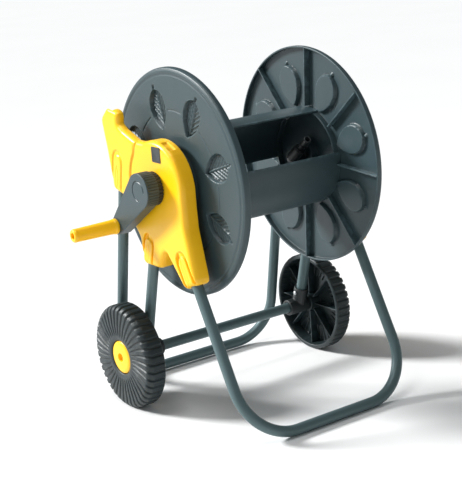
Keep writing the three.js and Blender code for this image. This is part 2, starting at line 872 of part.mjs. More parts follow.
function bearingBush() {
  return lathed([
    [shaftRadius + gap, bushInner - 2.4],
    [22, bushInner - 2.4],
    [22, bushInner],
    [bushRadius, bushInner],
    [bushRadius, bushOuter],
    [shaftRadius + gap, bushOuter],
  ], boreSides);
}

const inletFlangeRadius = 27;
const inletFlangeFace = panelFront + gap + 3;
const inletEnd = 224;
const inletBore = 4.5;
const inletSpigot = waterBore - 0.5;
const inletNeck = shaftRadius - 1.5; // passes through the panel's shaft hole
const sealWidth = 2.2;
const sealPlaces = [170, 178];
const inletScrewReach = 21.6;
const inletScrewDepth = 7; // into the panel's boss

// Takes the supply hose; its spigot stays still while the water shaft turns round it
function inletConnector() {
  const profile = [[inletBore, 164], [inletSpigot, 164]];
  sealPlaces.forEach((x) => {
    profile.push([inletSpigot, x], [inletSpigot - 1.6, x]);
    profile.push([inletSpigot - 1.6, x + sealWidth], [inletSpigot, x + sealWidth]);
  });
  profile.push(
    [inletSpigot, waterShaftEnd + 1],
    [inletNeck, waterShaftEnd + 1],
    [inletNeck, panelFront + gap],
    [inletFlangeRadius, panelFront + gap],
    [inletFlangeRadius, inletFlangeFace],
    [16.5, inletFlangeFace],
    [14, inletFlangeFace + 1],
    [11, 203],
    [8.5, 203],
    [8.5, 211],
    [7, 212],
    [7, 215],
    [8.5, 216],
    [8.5, inletEnd],
    [inletBore, inletEnd],
  );
  return cut(lathed(profile, 16), ...inletScrewHoles());
}

// Holes for the two screws, through the connector's flange and into the panel's boss
function inletScrewHoles() {
  return [-1, 1].map((side) => bar(
    new THREE.Vector3(panelFront - inletScrewDepth - gap, side * inletScrewReach, 0),
    new THREE.Vector3(inletFlangeFace + overcut, side * inletScrewReach, 0),
    screwRadius + gap,
    8,
  ));
}

function inletScrew(side) {
  const at = (x) => new THREE.Vector3(x, side * inletScrewReach, 0);
  return join(
    bar(at(inletFlangeFace + gap), at(inletFlangeFace + gap + screwHead), screwHeadRadius, 12),
    bar(at(panelFront - inletScrewDepth), at(inletFlangeFace + gap + 0.5), screwRadius, 8),
  );
}

function sealRing(x) {
  return sleeve(waterBore - 0.12, inletSpigot - 1.6 + 0.15, x + 0.2, x + sealWidth - 0.2, 20);
}

// ---------------------------------------------------------------- crank

const crankTip = polar(crankLength, crankAngle);

// Outline round the crank head and the grip end
function crankOutline(inset) {
  const head = crankHeadRadius - inset;
  const tip = crankTipRadius - inset;
  const axis = THREE.MathUtils.degToRad(crankAngle);
  const flare = Math.acos((head - tip) / crankLength);
  const shape = new THREE.Shape();
  const headSteps = 14;
  for (let i = 0; i <= headSteps; i += 1) {
    const angle = axis + flare + ((2 * Math.PI - 2 * flare) * i) / headSteps;
    const point = new THREE.Vector2(head * Math.cos(angle), head * Math.sin(angle));
    if (i === 0) {
      shape.moveTo(point.x, point.y);
    } else {
      shape.lineTo(point.x, point.y);
    }
  }
  const tipSteps = 6;
  for (let i = 0; i <= tipSteps; i += 1) {
    const angle = axis - flare + (2 * flare * i) / tipSteps;
    shape.lineTo(crankTip.x + tip * Math.cos(angle), crankTip.y + tip * Math.sin(angle));
  }
  shape.closePath();
  return shape;
}

const crankBack = crankFace - crankDepth;

// Made on the +X side: a hollow arm with bosses for the shaft and the grip spindle
function crankArm() {
  const shell = cut(
    slab(crankOutline(0), crankBack, crankFace, 1),
    slab(crankOutline(crankWall), crankBack - overcut, crankFace - crankWall, 1),
  );
  const tipAt = (x) => new THREE.Vector3(x, crankTip.x, crankTip.y);
  const body = join(
    shell,
    sleeve(18, 0, crankBack, crankFace - 1, 24),
    bar(tipAt(crankBack), tipAt(crankFace - 1), 10, 16),
  );
  const key = block(crankBack - 1, crankKeyEnd + gap, -keyHole, keyHole, -keyHole, keyHole);
  const spindleHole = bar(tipAt(crankBack + 4), tipAt(crankFace + 2), spindleRadius + gap, 12);
  return cut(body, key, spindleHole);
}

// Ribbed ring between the crank head and the panel
function crankCollar() {
  const ring = sleeve(collarRadius, shaftRadius + gap, collarInner, collarOuter, 24);
  const grooves = Array.from({ length: collarRibs }, (_, i) => {
    const notch = block(collarInner - 1, collarOuter + 1, collarRadius - 1.6, collarRadius + 2, -1.4, 1.4);
    return aroundAxis(notch, (360 * i) / collarRibs);
  });
  return cut(ring, ...grooves);
}

const gripRoot = crankFace + gap;
const gripEnd = gripRoot + gripLength;
const spindleEnd = gripEnd - 12;

function gripSpindle() {
  const at = (x) => new THREE.Vector3(x, crankTip.x, crankTip.y);
  return bar(at(crankBack + 4.5), at(spindleEnd), spindleRadius, 16);
}

// A push-on ring that keeps the grip on its spindle
function gripRing() {
  const ring = sleeve(gripBore - 0.4, spindleRadius + 0.1, spindleEnd - 2.6, spindleEnd - 1, 20);
  return ring.translate(0, crankTip.x, crankTip.y);
}

function grip() {
  const step = 0.6; // shoulder inside the grip that the ring bears on
  const body = lathed([
    [spindleRadius + gap, gripRoot],
    [gripRootRadius - 1, gripRoot],
    [gripRootRadius, gripRoot + 2],
    [gripTipRadius, gripEnd - 3],
    [gripTipRadius - 2, gripEnd],
    [gripBore, gripEnd],
    [gripBore, spindleEnd - 3],
    [spindleRadius + gap, spindleEnd - 3 - step],
  ], 28);
  return body.translate(0, crankTip.x, crankTip.y);
}

// ---------------------------------------------------------------- wheels and axle

const wheelOuterFace = wheelInnerFace + wheelWidth;
const wheelBore = rodRadius + gap;
const hubFace = wheelOuterFace - hubCapSeat;

// Made on +X, about its own axle
function wheel() {
  return lathed([
    [wheelBore, wheelInnerFace - 1.6],
    [wheelHubRadius, wheelInnerFace - 1.6],
    [wheelHubRadius, hubFace - 7],
    [wheelRadius - 11, wheelOuterFace - 11],
    [wheelRadius - 7, wheelInnerFace],
    [wheelRadius - 2, wheelInnerFace],
    [wheelRadius, wheelInnerFace + 3],
    [wheelRadius, wheelOuterFace - 8],
    [wheelRadius - 3, wheelOuterFace - 3],
    [wheelRadius - 10, wheelOuterFace],
    [hubCapRadius + gap, wheelOuterFace - 2],
    [hubCapRadius + gap, hubFace],
    [wheelBore, hubFace],
  ], wheelSides);
}

const capFace = wheelOuterFace - 0.6;

function hubCap() {
  const recessFloor = capFace - hubCapRecess;
  return lathed([
    [0, recessFloor],
    [hubCapRecessRadius - 0.6, recessFloor],
    [hubCapRecessRadius, capFace],
    [hubCapRadius - 3, capFace],
    [hubCapRadius, capFace - 2],
    [hubCapRadius, hubFace + gap],
    [hubCapRadius - hubCapWall, hubFace + gap],
    [hubCapRadius - hubCapWall, capFace - hubCapWall],
    [hubCapRecessRadius + hubCapWall, capFace - hubCapWall],
    [hubCapRecessRadius + hubCapWall / 2, recessFloor - hubCapWall / 2],
    [0, recessFloor - hubCapWall / 2],
  ], 24);
}

function atAxle(geometry) {
  return geometry.translate(0, wheelCentre.x, wheelCentre.y);
}

const rodEnd = capFace - hubCapRecess - hubCapWall / 2 - 2 * gap;

function axleRod() {
  return atAxle(sleeve(rodRadius, 0, -rodEnd, rodEnd, 24));
}

function pushNut() {
  return atAxle(sleeve(10, rodRadius + 0.1, hubFace + gap, hubFace + gap + 1.4, 20));
}

// Three-way fitting: crossbar in its inner end, wheel leg in its collar, axle rod through it
function axleFitting() {
  const body = join(
    atAxle(sleeve(fittingRadius, 0, fittingInner, fittingOuter, boreSides)),
    socketSleeve(wheelLine, wheelLine.length - legCollarHeight, wheelLine.length, legCollarRadius, 16),
  );
  const screwAt = (x) => wheelLine.place(fittingScrewAlong, x);
  return cut(
    body,
    atAxle(sleeve(tubeRoom, 0, fittingInner - 2, crossbarEnd + gap, 20)),
    atAxle(sleeve(wheelBore, 0, fittingInner - 2, fittingOuter + 2, 16)),
    socketSleeve(wheelLine, wheelLine.length - legCollarHeight - 4, wheelLine.length - legEnd + gap, tubeRoom, roomSides),
    bar(screwAt(tubeSpread - legCollarRadius - 3), screwAt(tubeSpread), screwRadius + gap, 8),
  );
}

// Screws that pin a tube in its socket, headed on the inside of the cart
function tubeScrew(line, along, seat) {
  const at = (x) => line.place(along, x);
  return join(
    bar(at(seat - gap - screwHead), at(seat - gap), screwHeadRadius, 12),
    bar(at(seat - gap - 0.5), at(tubeSpread - tubeRadius + 4), screwRadius, 8),
  );
}

function handlePin() {
  const at = (x) => handleLine.place(0, x);
  return join(
    bar(at(panelBack - gap - 1.8), at(panelBack - gap), pivotPinRadius + 4, 16),
    bar(at(panelBack - gap - 0.5), at(panelFront - pivotPinSkin - gap), pivotPinRadius, 16),
  );
}

const badgeCentre = polar(60, 101);
const badgeSize = 27;

// A small blank badge on the dome
function badgePlate() {
  const shape = new THREE.Shape();
  const half = badgeSize / 2;
  const { x, y } = badgeCentre;
  shape.moveTo(x - half, y - half);
  shape.lineTo(x + half, y - half);
  shape.lineTo(x + half, y + half);
  shape.lineTo(x - half, y + half);
  shape.closePath();
  return slab(shape, panelFront + 0.1, panelFront + 0.9);
}

// ---------------------------------------------------------------- assembly

const cart = new THREE.Group();
cart.name = 'hose_reel_cart';

function add(name, geometry, material) {
  const mesh = new THREE.Mesh(geometry, material);
  mesh.name = name;
  cart.add(mesh);
}

// A piece made on the +X side: `inlet` keeps it there and `crank` mirrors it
function addPair(name, geometry, material) {
  add(`${name}_inlet`, geometry, material);
  add(`${name}_crank`, mirrored(geometry), material);
}

// Frame
add('side_panel_inlet', cut(sidePanel(), ...inletScrewHoles()), yellowPlastic);
add('side_panel_crank', mirrored(sidePanel()), yellowPlastic);
add('foot_tube', footTube(), tubePaint);
add('wheel_leg_inlet', wheelLeg(1), tubePaint);
add('wheel_leg_crank', wheelLeg(-1), tubePaint);
add('axle_crossbar', crossbarTube(), tubePaint);
addPair('axle_fitting', axleFitting(), blackPlastic);
add('axle_rod', axleRod(), zincSteel);
addPair('push_nut', pushNut(), zincSteel);
addPair('bearing_bush', bearingBush(), acetal);
addPair('foot_screw', tubeScrew(footLine, footSocketLength - screwAlong, screwSeat), zincSteel);
addPair('leg_screw', tubeScrew(wheelLine, wheelSocketLength - screwAlong, screwSeat), zincSteel);
addPair('fitting_screw', tubeScrew(wheelLine, fittingScrewAlong, tubeSpread - legCollarRadius), zincSteel);
addPair('handle_pin', handlePin(), zincSteel);
add('inlet_connector', inletConnector(), blackPlastic);
add('inlet_screw_front', inletScrew(-1), zincSteel);
add('inlet_screw_rear', inletScrew(1), zincSteel);
add('seal_ring_inner', sealRing(sealPlaces[0]), rubber);
add('seal_ring_outer', sealRing(sealPlaces[1]), rubber);
add('badge_plate', mirrored(badgePlate()), blackPlastic);

// Handle
add('handle_tube', handleTube(), tubePaint);

// Reel and crank
addPair('flange', flange(), reelPlastic);
const slatEdges = [drumGapStart + drumGapAngle, drumGapStart + 180];
add('drum_slat_upper', drumSlat(slatEdges[0], slatEdges[1]), reelPlastic);
add('drum_slat_lower', drumSlat(slatEdges[0] - 180, slatEdges[1] - 180), reelPlastic);
[['upper', drumScrewAngles[0]], ['lower', drumScrewAngles[1]]].forEach(([name, degrees]) => {
  add(`drum_screw_${name}_inlet`, drumScrew(drumScrewX, degrees), zincSteel);
  add(`drum_screw_${name}_crank`, drumScrew(-drumScrewX, degrees), zincSteel);
});
add('crank_shaft', mirrored(crankShaft()), blackPlastic);
add('hub_screw', mirrored(hubScrew()), zincSteel);
add('water_shaft', waterShaft(), blackPlastic);
add('outlet_elbow', outletElbow(), blackPlastic);
add('crank_collar', mirrored(crankCollar()), blackPlastic);
add('crank_arm', mirrored(crankArm()), reelPlastic);
add('grip_spindle', mirrored(gripSpindle()), zincSteel);
add('grip_ring', mirrored(gripRing()), zincSteel);
add('crank_grip', mirrored(grip()), yellowPlastic);

// Wheels
addPair('wheel', atAxle(wheel()), wheelPlastic);
addPair('hub_cap', atAxle(hubCap()), yellowPlastic);

// Stand the cart on its bottom centre
const bounds = new THREE.Box3().setFromObject(cart);
const middle = bounds.getCenter(new THREE.Vector3());
cart.position.set(-middle.x, -middle.y, -bounds.min.z);

export default cart;
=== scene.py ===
"""Garden hose reel cart: finished surfaces, materials, lights and camera around its fixed frame.

Lengths in the shape code are millimetres from the reel axis at the middle of the reel, with X along
the axis, Y to the back and Z up; `placed` turns them into metres in the frame's own place.
"""

import json
import math

import bmesh
import bpy
import numpy as np
from bpy.props import FloatProperty, FloatVectorProperty, IntProperty, PointerProperty
from mathutils import Matrix, Vector

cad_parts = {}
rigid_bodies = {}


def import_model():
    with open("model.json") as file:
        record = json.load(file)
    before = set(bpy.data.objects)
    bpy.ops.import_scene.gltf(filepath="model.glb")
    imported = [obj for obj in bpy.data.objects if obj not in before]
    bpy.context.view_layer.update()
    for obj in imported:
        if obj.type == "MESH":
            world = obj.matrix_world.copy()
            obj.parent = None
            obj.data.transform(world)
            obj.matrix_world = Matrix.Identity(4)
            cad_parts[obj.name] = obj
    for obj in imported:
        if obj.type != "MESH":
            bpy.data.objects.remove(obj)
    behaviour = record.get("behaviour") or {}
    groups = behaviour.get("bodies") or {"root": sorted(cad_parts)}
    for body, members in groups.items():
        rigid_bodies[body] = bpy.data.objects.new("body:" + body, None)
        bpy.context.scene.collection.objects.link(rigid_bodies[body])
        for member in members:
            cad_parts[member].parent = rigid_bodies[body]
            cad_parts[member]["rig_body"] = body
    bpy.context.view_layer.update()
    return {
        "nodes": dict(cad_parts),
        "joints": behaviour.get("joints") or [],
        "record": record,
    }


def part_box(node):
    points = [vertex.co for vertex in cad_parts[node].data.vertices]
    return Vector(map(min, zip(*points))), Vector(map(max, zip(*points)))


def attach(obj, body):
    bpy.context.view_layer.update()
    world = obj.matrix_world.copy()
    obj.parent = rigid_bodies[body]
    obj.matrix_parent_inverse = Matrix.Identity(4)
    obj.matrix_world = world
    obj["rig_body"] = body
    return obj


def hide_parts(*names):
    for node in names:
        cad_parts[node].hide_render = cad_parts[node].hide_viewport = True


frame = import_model()

bl_info = {
    "name": "Hose reel cart",
    "version": (1, 0, 0),
    "blender": (4, 5, 0),
    "location": "3D View > Sidebar > Reel cart",
    "description": "Builds a garden hose reel cart round its frame",
    "category": "Object",
}

MM = 0.001
JOINTS = {joint["name"]: Vector(joint["pos_m"]) for joint in frame["joints"]}
MOUNTS = {mount["name"]: Vector(mount["pos_m"]) for mount in frame["record"]["mounts"]}
REEL_AXIS = JOINTS["reel_spin"]


def reach(node, axis, side):
    """How far a node reaches along an axis, in millimetres from the reel axis; side 0 is its low end."""
    return (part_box(node)[side][axis] - REEL_AXIS[axis]) / MM


def ends_of(node, axis=0):
    """Both ends of a node along an axis, in millimetres from the reel axis."""
    return reach(node, axis, 0), reach(node, axis, 1)


def round_radius(node):
    """Radius of a node that is round about X, in millimetres."""
    low, high = ends_of(node, 2)
    return (high - low) / 2


def from_axis(place):
    """A place of the frame in millimetres from the reel axis."""
    return (place - REEL_AXIS) / MM


WHEEL_AXLE = from_axis(JOINTS["wheel_spin_inlet"])
HANDLE_PIVOT = from_axis(JOINTS["handle_fold"])
GRIP_AXIS = from_axis(JOINTS["grip_spin"])
FOOT_REST = from_axis(MOUNTS["foot_rest"])


# ---------------------------------------------------------------- sizes and colours


def length(name, description, millimetres):
    return FloatProperty(name=name, description=description, default=millimetres * MM,
                         subtype="DISTANCE", unit="LENGTH", precision=4)


def angle(name, description, degrees):
    return FloatProperty(name=name, description=description, default=math.radians(degrees),
                         subtype="ANGLE", unit="ROTATION")


def whole(name, description, number):
    return IntProperty(name=name, description=description, default=number, min=3, max=96)


def colour(name, description, red, green, blue):
    return FloatVectorProperty(name=name, description=description, default=(red, green, blue),
                               subtype="COLOR", size=3, min=0.0, max=1.0)


class CART_PG_tubes(bpy.types.PropertyGroup):
    """Sizes of the bent steel tubes."""

    radius: length("Tube radius", "Outer radius of the steel tubes", 9.75)
    wall: length("Tube wall", "Thickness of the tube wall", 1.2)
    pin_hole: length("Pin hole", "Radius of the handle's pivot holes", 4.32)
    foot_bend: length("Foot bend", "Bend radius of the foot tube", 95)
    handle_bend: length("Handle bend", "Bend radius of the handle tube", 80)
    top_clear: length("Top clearance", "Upper ends of the legs stop this far from the reel axis", 62)
    handle_stub: length("Handle stub", "Handle tube past its pivot", 18)
    leg_back: length("Leg line", "Where the wheel legs' line passes the height of the reel axis", 9.8)


class CART_PG_reel(bpy.types.PropertyGroup):
    """Sizes of the moulded detail on the flanges and the drum."""

    leaves: whole("Leaves", "Leaf recesses round a flange", 8)
    leaf_inner: length("Leaf point", "Pointed end of a leaf recess from the reel axis", 95)
    leaf_outer: length("Leaf stem", "Stem end of a leaf recess from the reel axis", 166)
    leaf_width: length("Leaf width", "Widest part of a leaf recess", 48)
    leaf_depth: length("Leaf depth", "Depth of a leaf recess", 7)
    leaf_turn: angle("Leaf turn", "Turn of the leaves and ribs from straight back", 4)
    rib_height: length("Rib height", "Height of the ribs on the inner side of a flange", 11)
    arc_radius: length("Arc groove", "Radius of the thin grooves between the leaves", 127)
    plate: length("Flange plate", "Thickness of the flange plate", 3)
    lip: length("Rim depth", "Depth of the flange rim", 12.5)
    hub_pad: length("Hub pad", "Radius of the raised middle of a flange", 62)
    drum_radius: length("Drum radius", "Outer radius of the drum slats", 90)
    drum_wall: length("Drum wall", "Thickness of the drum slats", 3)
    gap_start: angle("Gap start", "Front opening starts this far above the horizontal", 10)
    gap_angle: angle("Gap angle", "Each opening between the drum slats", 60)


class CART_PG_wheels(bpy.types.PropertyGroup):
    """Sizes of the wheels."""

    ribs: whole("Ribs", "Ribs round the tread and sidewall", 40)
    rib_depth: length("Rib depth", "Depth of the grooves in the tread", 2.4)
    sidewall_depth: length("Sidewall grooves", "Depth of the grooves in the sidewall", 2.2)
    shoulder: length("Shoulder", "Rounding between the tread and the sidewall", 13)
    spokes: whole("Spokes", "Thin ribs across the hollow inner side", 8)
    bore: length("Wheel bore", "Bore of a wheel's hub", 6.3)
    hub_radius: length("Wheel hub", "Outer radius of a wheel's hub", 17)
    cap_seat: length("Cap seat", "Depth of the pocket that holds a hub cap", 12)
    cap_recess: length("Cap recess", "Depth of the round recess in a hub cap", 6)
    recess_radius: length("Recess radius", "Radius of the round recess in a hub cap", 8)


class CART_PG_panels(bpy.types.PropertyGroup):
    """Sizes of the moulded detail on the side panels."""

    oval_length: length("Oval length", "Half length of the oval on a tongue", 20)
    oval_width: length("Oval width", "Half width of the oval on a tongue", 4.2)
    oval_depth: length("Oval depth", "Depth of the line round each oval", 0.8)
    seam_radius: length("Seam radius", "Groove between the arm and the dome, from the reel axis", 82)
    seam_depth: length("Seam depth", "Depth of that groove", 2.6)
    pocket_width: length("Pocket width", "Half width of the clip pocket across the dome's edge", 5)
    pocket_depth: length("Pocket depth", "Depth of the clip pocket", 3)


class CART_PG_crank(bpy.types.PropertyGroup):
    """Sizes of the crank, its collar and its grip."""

    head_radius: length("Head radius", "Radius of the crank's head", 31.5)
    tip_radius: length("Tip radius", "Radius of the crank's end at the grip", 16)
    wall: length("Crank wall", "Thickness of the crank's skin", 3)
    arrow_radius: length("Arrow radius", "Radius of the turning arrow on the head", 17.5)
    arrow_depth: length("Arrow depth", "Depth of the turning arrow", 1.3)
    collar_radius: length("Collar radius", "Outer radius of the ribbed collar", 29.4)
    collar_bore: length("Collar bore", "Bore of the ribbed collar", 14.9)
    collar_ribs: whole("Collar ribs", "Ribs round the collar", 30)
    spindle_radius: length("Spindle radius", "Radius of the grip's spindle", 4.6)
    grip_root: length("Grip root", "Radius of the grip at the crank", 14)
    grip_tip: length("Grip tip", "Radius of the grip near its free end", 11.8)
    grip_bore: length("Grip bore", "Radius of the hole in the grip's end", 5.7)


class CART_PG_fittings(bpy.types.PropertyGroup):
    """Sizes of the bearings, the water inlet, the axle, the screws and the pins."""

    bush_bore: length("Bush bore", "Bore of a bearing bush", 14.8)
    bush_radius: length("Bush radius", "Outer radius of a bearing bush", 18.4)
    bush_lip: length("Bush lip", "Radius of a bearing bush's lip", 22)
    inlet_bore: length("Inlet bore", "Bore of the water inlet", 4.5)
    inlet_lip: length("Inlet lip", "Radius of the water inlet's flange", 27)
    rod_radius: length("Rod radius", "Radius of the axle rod", 6)
    nut_radius: length("Nut radius", "Radius of a push nut", 10)
    screw_head: length("Screw head", "Radius of a screw's head", 4.2)
    screw_shank: length("Screw shank", "Radius of a screw's shank", 2.2)
    screw_rise: length("Screw rise", "Height of a screw's head", 2)
    pin_head: length("Pin head", "Radius of a handle pin's head", 8)
    pin_shank: length("Pin shank", "Radius of a handle pin", 4)
    pin_rise: length("Pin rise", "Height of a handle pin's head", 1.8)


class CART_PG_colours(bpy.types.PropertyGroup):
    """Colours of the finishes."""

    yellow: colour("Yellow moulding", "Panels, grip and hub caps", 1.0, 0.56, 0.006)
    reel: colour("Reel moulding", "Flanges, drum and crank", 0.031, 0.056, 0.064)
    black: colour("Black moulding", "Fittings, collar and water parts", 0.014, 0.018, 0.019)
    wheel: colour("Wheel", "Wheels and their treads", 0.009, 0.017, 0.019)
    paint: colour("Tube paint", "Powder coat of the steel tubes", 0.070, 0.128, 0.125)
    zinc: colour("Zinc", "Screws, pins and the axle rod", 0.62, 0.64, 0.65)
    bush: colour("Bush", "Bearing bushes", 0.74, 0.72, 0.66)
    rubber: colour("Rubber", "Seal rings", 0.010, 0.010, 0.010)
    floor: colour("Floor", "Studio floor", 0.93, 0.935, 0.935)


def settings(group):
    return getattr(bpy.context.scene, "cart_" + group)


def in_mm(group, name):
    return getattr(settings(group), name) / MM


# ---------------------------------------------------------------- shader groups


def new_group(name, inputs, outputs):
    """An empty shader group with named sockets; inputs and outputs are (name, type, default)."""
    group = bpy.data.node_groups.new(name, "ShaderNodeTree")
    for label, kind, default in inputs:
        socket = group.interface.new_socket(label, in_out="INPUT", socket_type="NodeSocket" + kind)
        socket.default_value = default
    for label, kind in outputs:
        group.interface.new_socket(label, in_out="OUTPUT", socket_type="NodeSocket" + kind)
    start = group.nodes.new("NodeGroupInput")
    end = group.nodes.new("NodeGroupOutput")
    return group, start, end


def feed(tree, socket, value):
    """Sets a socket to a number or a colour, or links it to another socket."""
    if hasattr(value, "is_output"):
        tree.links.new(value, socket)
    else:
        socket.default_value = value


def add_node(tree, kind, **values):
    node = tree.nodes.new("ShaderNode" + kind)
    for key, value in values.items():
        setattr(node, key, value)
    return node


def noise(tree, scale, detail=3.0, roughness=0.55):
    """Noise over the piece's own place, so that it rides with the piece."""
    place = add_node(tree, "TexCoord")
    texture = add_node(tree, "TexNoise")
    tree.links.new(place.outputs["Object"], texture.inputs["Vector"])
    texture.inputs["Detail"].default_value = detail
    texture.inputs["Roughness"].default_value = roughness
    feed(tree, texture.inputs["Scale"], scale)
    return texture.outputs["Fac"]


def spread(tree, value, low, high, to_low=0.0, to_high=1.0):
    """A value stretched from one range to another."""
    node = add_node(tree, "MapRange")
    for slot, number in (("From Min", low), ("From Max", high), ("To Min", to_low), ("To Max", to_high)):
        feed(tree, node.inputs[slot], number)
    tree.links.new(value, node.inputs["Value"])
    return node.outputs["Result"]


def combine(tree, operation, first, second):
    node = add_node(tree, "Math", operation=operation)
    for socket, value in zip(node.inputs, (first, second)):
        feed(tree, socket, value)
    return node.outputs[0]


def mixed(tree, factor, first, second):
    node = add_node(tree, "Mix", data_type="RGBA")
    tree.links.new(factor, node.inputs["Factor"])
    for socket, value in ((node.inputs[6], first), (node.inputs[7], second)):
        feed(tree, socket, value)
    return node.outputs[2]


def drift_group():
    """Slow changes of colour across a moulding, between two colours."""
    group, start, end = new_group(
        "colour_drift",
        [("Colour", "Color", (1, 1, 1, 1)), ("Second", "Color", (0, 0, 0, 1)),
         ("Scale", "Float", 9.0), ("Amount", "Float", 0.5)],
        [("Colour", "Color")],
    )
    broad = spread(group, noise(group, start.outputs["Scale"], 2.0), 0.36, 0.66)
    fine = spread(group, noise(group, 160.0, 3.0), 0.3, 0.7, 0.75, 1.0)
    share = combine(group, "MULTIPLY", broad, fine)
    share = combine(group, "MULTIPLY", share, start.outputs["Amount"])
    mix = mixed(group, share, start.outputs["Colour"], start.outputs["Second"])
    group.links.new(mix, end.inputs["Colour"])
    return group


def wear_group():
    """Paler rubbed edges broken up by noise, and painted shade that darkens the concave corners."""
    group, start, end = new_group(
        "edge_wear",
        [("Colour", "Color", (1, 1, 1, 1)), ("Worn", "Color", (1, 1, 1, 1)),
         ("Soiled", "Color", (0, 0, 0, 1)), ("Amount", "Float", 0.5)],
        [("Colour", "Color"), ("Mask", "Float")],
    )
    shape = add_node(group, "NewGeometry").outputs["Pointiness"]
    patches = spread(group, noise(group, 70.0, 5.0, 0.65), 0.4, 0.62)
    edge = spread(group, shape, 0.512, 0.56)
    edge = combine(group, "MULTIPLY", edge, patches)
    edge = combine(group, "MULTIPLY", edge, start.outputs["Amount"])
    # Painted shade: concave corners (low pointiness) are mixed towards the shade colour.
    corner = spread(group, shape, 0.488, 0.44)
    corner = combine(group, "MULTIPLY", corner, start.outputs["Amount"])
    lifted = mixed(group, edge, start.outputs["Colour"], start.outputs["Worn"])
    corner_shade = mixed(group, corner, lifted, start.outputs["Soiled"])
    group.links.new(corner_shade, end.inputs["Colour"])
    group.links.new(edge, end.inputs["Mask"])
    return group


def grain_group():
    """The fine texture that a mould or a powder coat leaves, as a height."""
    group, start, end = new_group(
        "surface_grain",
        [("Scale", "Float", 900.0), ("Waves", "Float", 0.3)],
        [("Height", "Float")],
    )
    fine = noise(group, start.outputs["Scale"], 2.0, 0.6)
    slow = noise(group, 26.0, 2.0, 0.5)
    slow = combine(group, "MULTIPLY", slow, start.outputs["Waves"])
    group.links.new(combine(group, "ADD", fine, slow), end.inputs["Height"])
    return group


def gloss_group():
    """Roughness with handled and dusty patches."""
    group, start, end = new_group(
        "patchy_gloss",
        [("Roughness", "Float", 0.4), ("Spread", "Float", 0.1), ("Mask", "Float", 0.0)],
        [("Roughness", "Float")],
    )
    patches = spread(group, noise(group, 34.0, 6.0, 0.6), 0.3, 0.7, -1.0, 1.0)
    scuffs = spread(group, noise(group, 420.0, 2.0, 0.5), 0.52, 0.7)
    change = combine(group, "MULTIPLY", patches, start.outputs["Spread"])
    rough = combine(group, "ADD", start.outputs["Roughness"], change)
    rough = combine(group, "ADD", rough, combine(group, "MULTIPLY", scuffs, start.outputs["Spread"]))
    worn = combine(group, "MULTIPLY", start.outputs["Mask"], 0.12)
    group.links.new(combine(group, "ADD", rough, worn), end.inputs["Roughness"])
    return group


GROUP_MAKERS = {
    "colour_drift": drift_group,
    "edge_wear": wear_group,
    "surface_grain": grain_group,
    "patchy_gloss": gloss_group,
}


def effect(tree, name, **values):
    """A placed copy of a shader group with its own values."""
    node = add_node(tree, "Group")
    node.node_tree = bpy.data.node_groups.get(name) or GROUP_MAKERS[name]()
    for label, value in values.items():
        node.inputs[label].default_value = value
    return node


# ---------------------------------------------------------------- materials


def toned(rgb, factor, lift=0.0):
    """A colour made darker or lighter, as red, green, blue and alpha."""
    return tuple(min(1.0, part * factor + lift) for part in rgb) + (1.0,)


def layered_material(name, base, second, worn, corner_shade, amounts, gloss, grain):
    """One material from the shared effects; amounts are drift, drift scale, and edge wear with painted corner
    shade, gloss is roughness and spread, grain is scale, waves, strength and depth. The fourth colour is the
    painted shade for concave corners."""
    material = bpy.data.materials.new(name)
    material.use_nodes = True
    tree = material.node_tree
    shader = tree.nodes["Principled BSDF"]
    drift = effect(tree, "colour_drift", Colour=base, Second=second, Scale=amounts[1], Amount=amounts[0])
    # This group lightens rubbed edges and paints shade into concave corners.
    wear_and_shade = effect(tree, "edge_wear", Worn=worn, Soiled=corner_shade, Amount=amounts[2])
    tree.links.new(drift.outputs["Colour"], wear_and_shade.inputs["Colour"])
    tree.links.new(wear_and_shade.outputs["Colour"], shader.inputs["Base Color"])
    patches = effect(tree, "patchy_gloss", Roughness=gloss[0], Spread=gloss[1])
    tree.links.new(wear_and_shade.outputs["Mask"], patches.inputs["Mask"])
    tree.links.new(patches.outputs["Roughness"], shader.inputs["Roughness"])
    texture = effect(tree, "surface_grain", Scale=grain[0], Waves=grain[1])
    bump = add_node(tree, "Bump")
    bump.inputs["Strength"].default_value = grain[2]
    bump.inputs["Distance"].default_value = grain[3]
    tree.links.new(texture.outputs["Height"], bump.inputs["Height"])
    tree.links.new(bump.outputs["Normal"], shader.inputs["Normal"])
    return material, shader


def yellow_moulding(rgb):
    # The orange fourth colour is painted shade for the concave corners.
    material, shader = layered_material(
        "yellow_moulding", toned(rgb, 1.0), (0.95, 0.42, 0.004, 1.0), (1.0, 0.68, 0.11, 1.0),
        (0.72, 0.20, 0.002, 1.0), (0.22, 7.0, 0.5), (0.34, 0.05), (1500.0, 0.4, 0.12, 0.0003))
    shader.inputs["Specular IOR Level"].default_value = 0.45
    shader.inputs["Subsurface Weight"].default_value = 0.06
    shader.inputs["Subsurface Radius"].default_value = (0.006, 0.003, 0.001)
    return material


def reel_moulding(rgb):
    material, shader = layered_material(
        "reel_moulding", toned(rgb, 1.0), toned(rgb, 0.66), toned(rgb, 2.1, 0.01),
        toned(rgb, 0.3), (0.22, 6.0, 0.75), (0.42, 0.035), (1300.0, 0.4, 0.22, 0.0004))
    shader.inputs["Specular IOR Level"].default_value = 0.5
    return material


def black_moulding(rgb):
    material, shader = layered_material(
        "black_moulding", toned(rgb, 1.0), toned(rgb, 1.8), toned(rgb, 4.0, 0.01),
        toned(rgb, 0.4), (0.5, 14.0, 0.8), (0.42, 0.1), (1500.0, 0.6, 0.3, 0.0004))
    shader.inputs["Specular IOR Level"].default_value = 0.5
    return material


def wheel_moulding(rgb):
    material, shader = layered_material(
        "wheel_moulding", toned(rgb, 1.0), toned(rgb, 1.7, 0.001), toned(rgb, 3.2, 0.004),
        toned(rgb, 0.35), (0.6, 16.0, 0.5), (0.42, 0.08), (1100.0, 0.8, 0.45, 0.0006))
    shader.inputs["Specular IOR Level"].default_value = 0.45
    return material


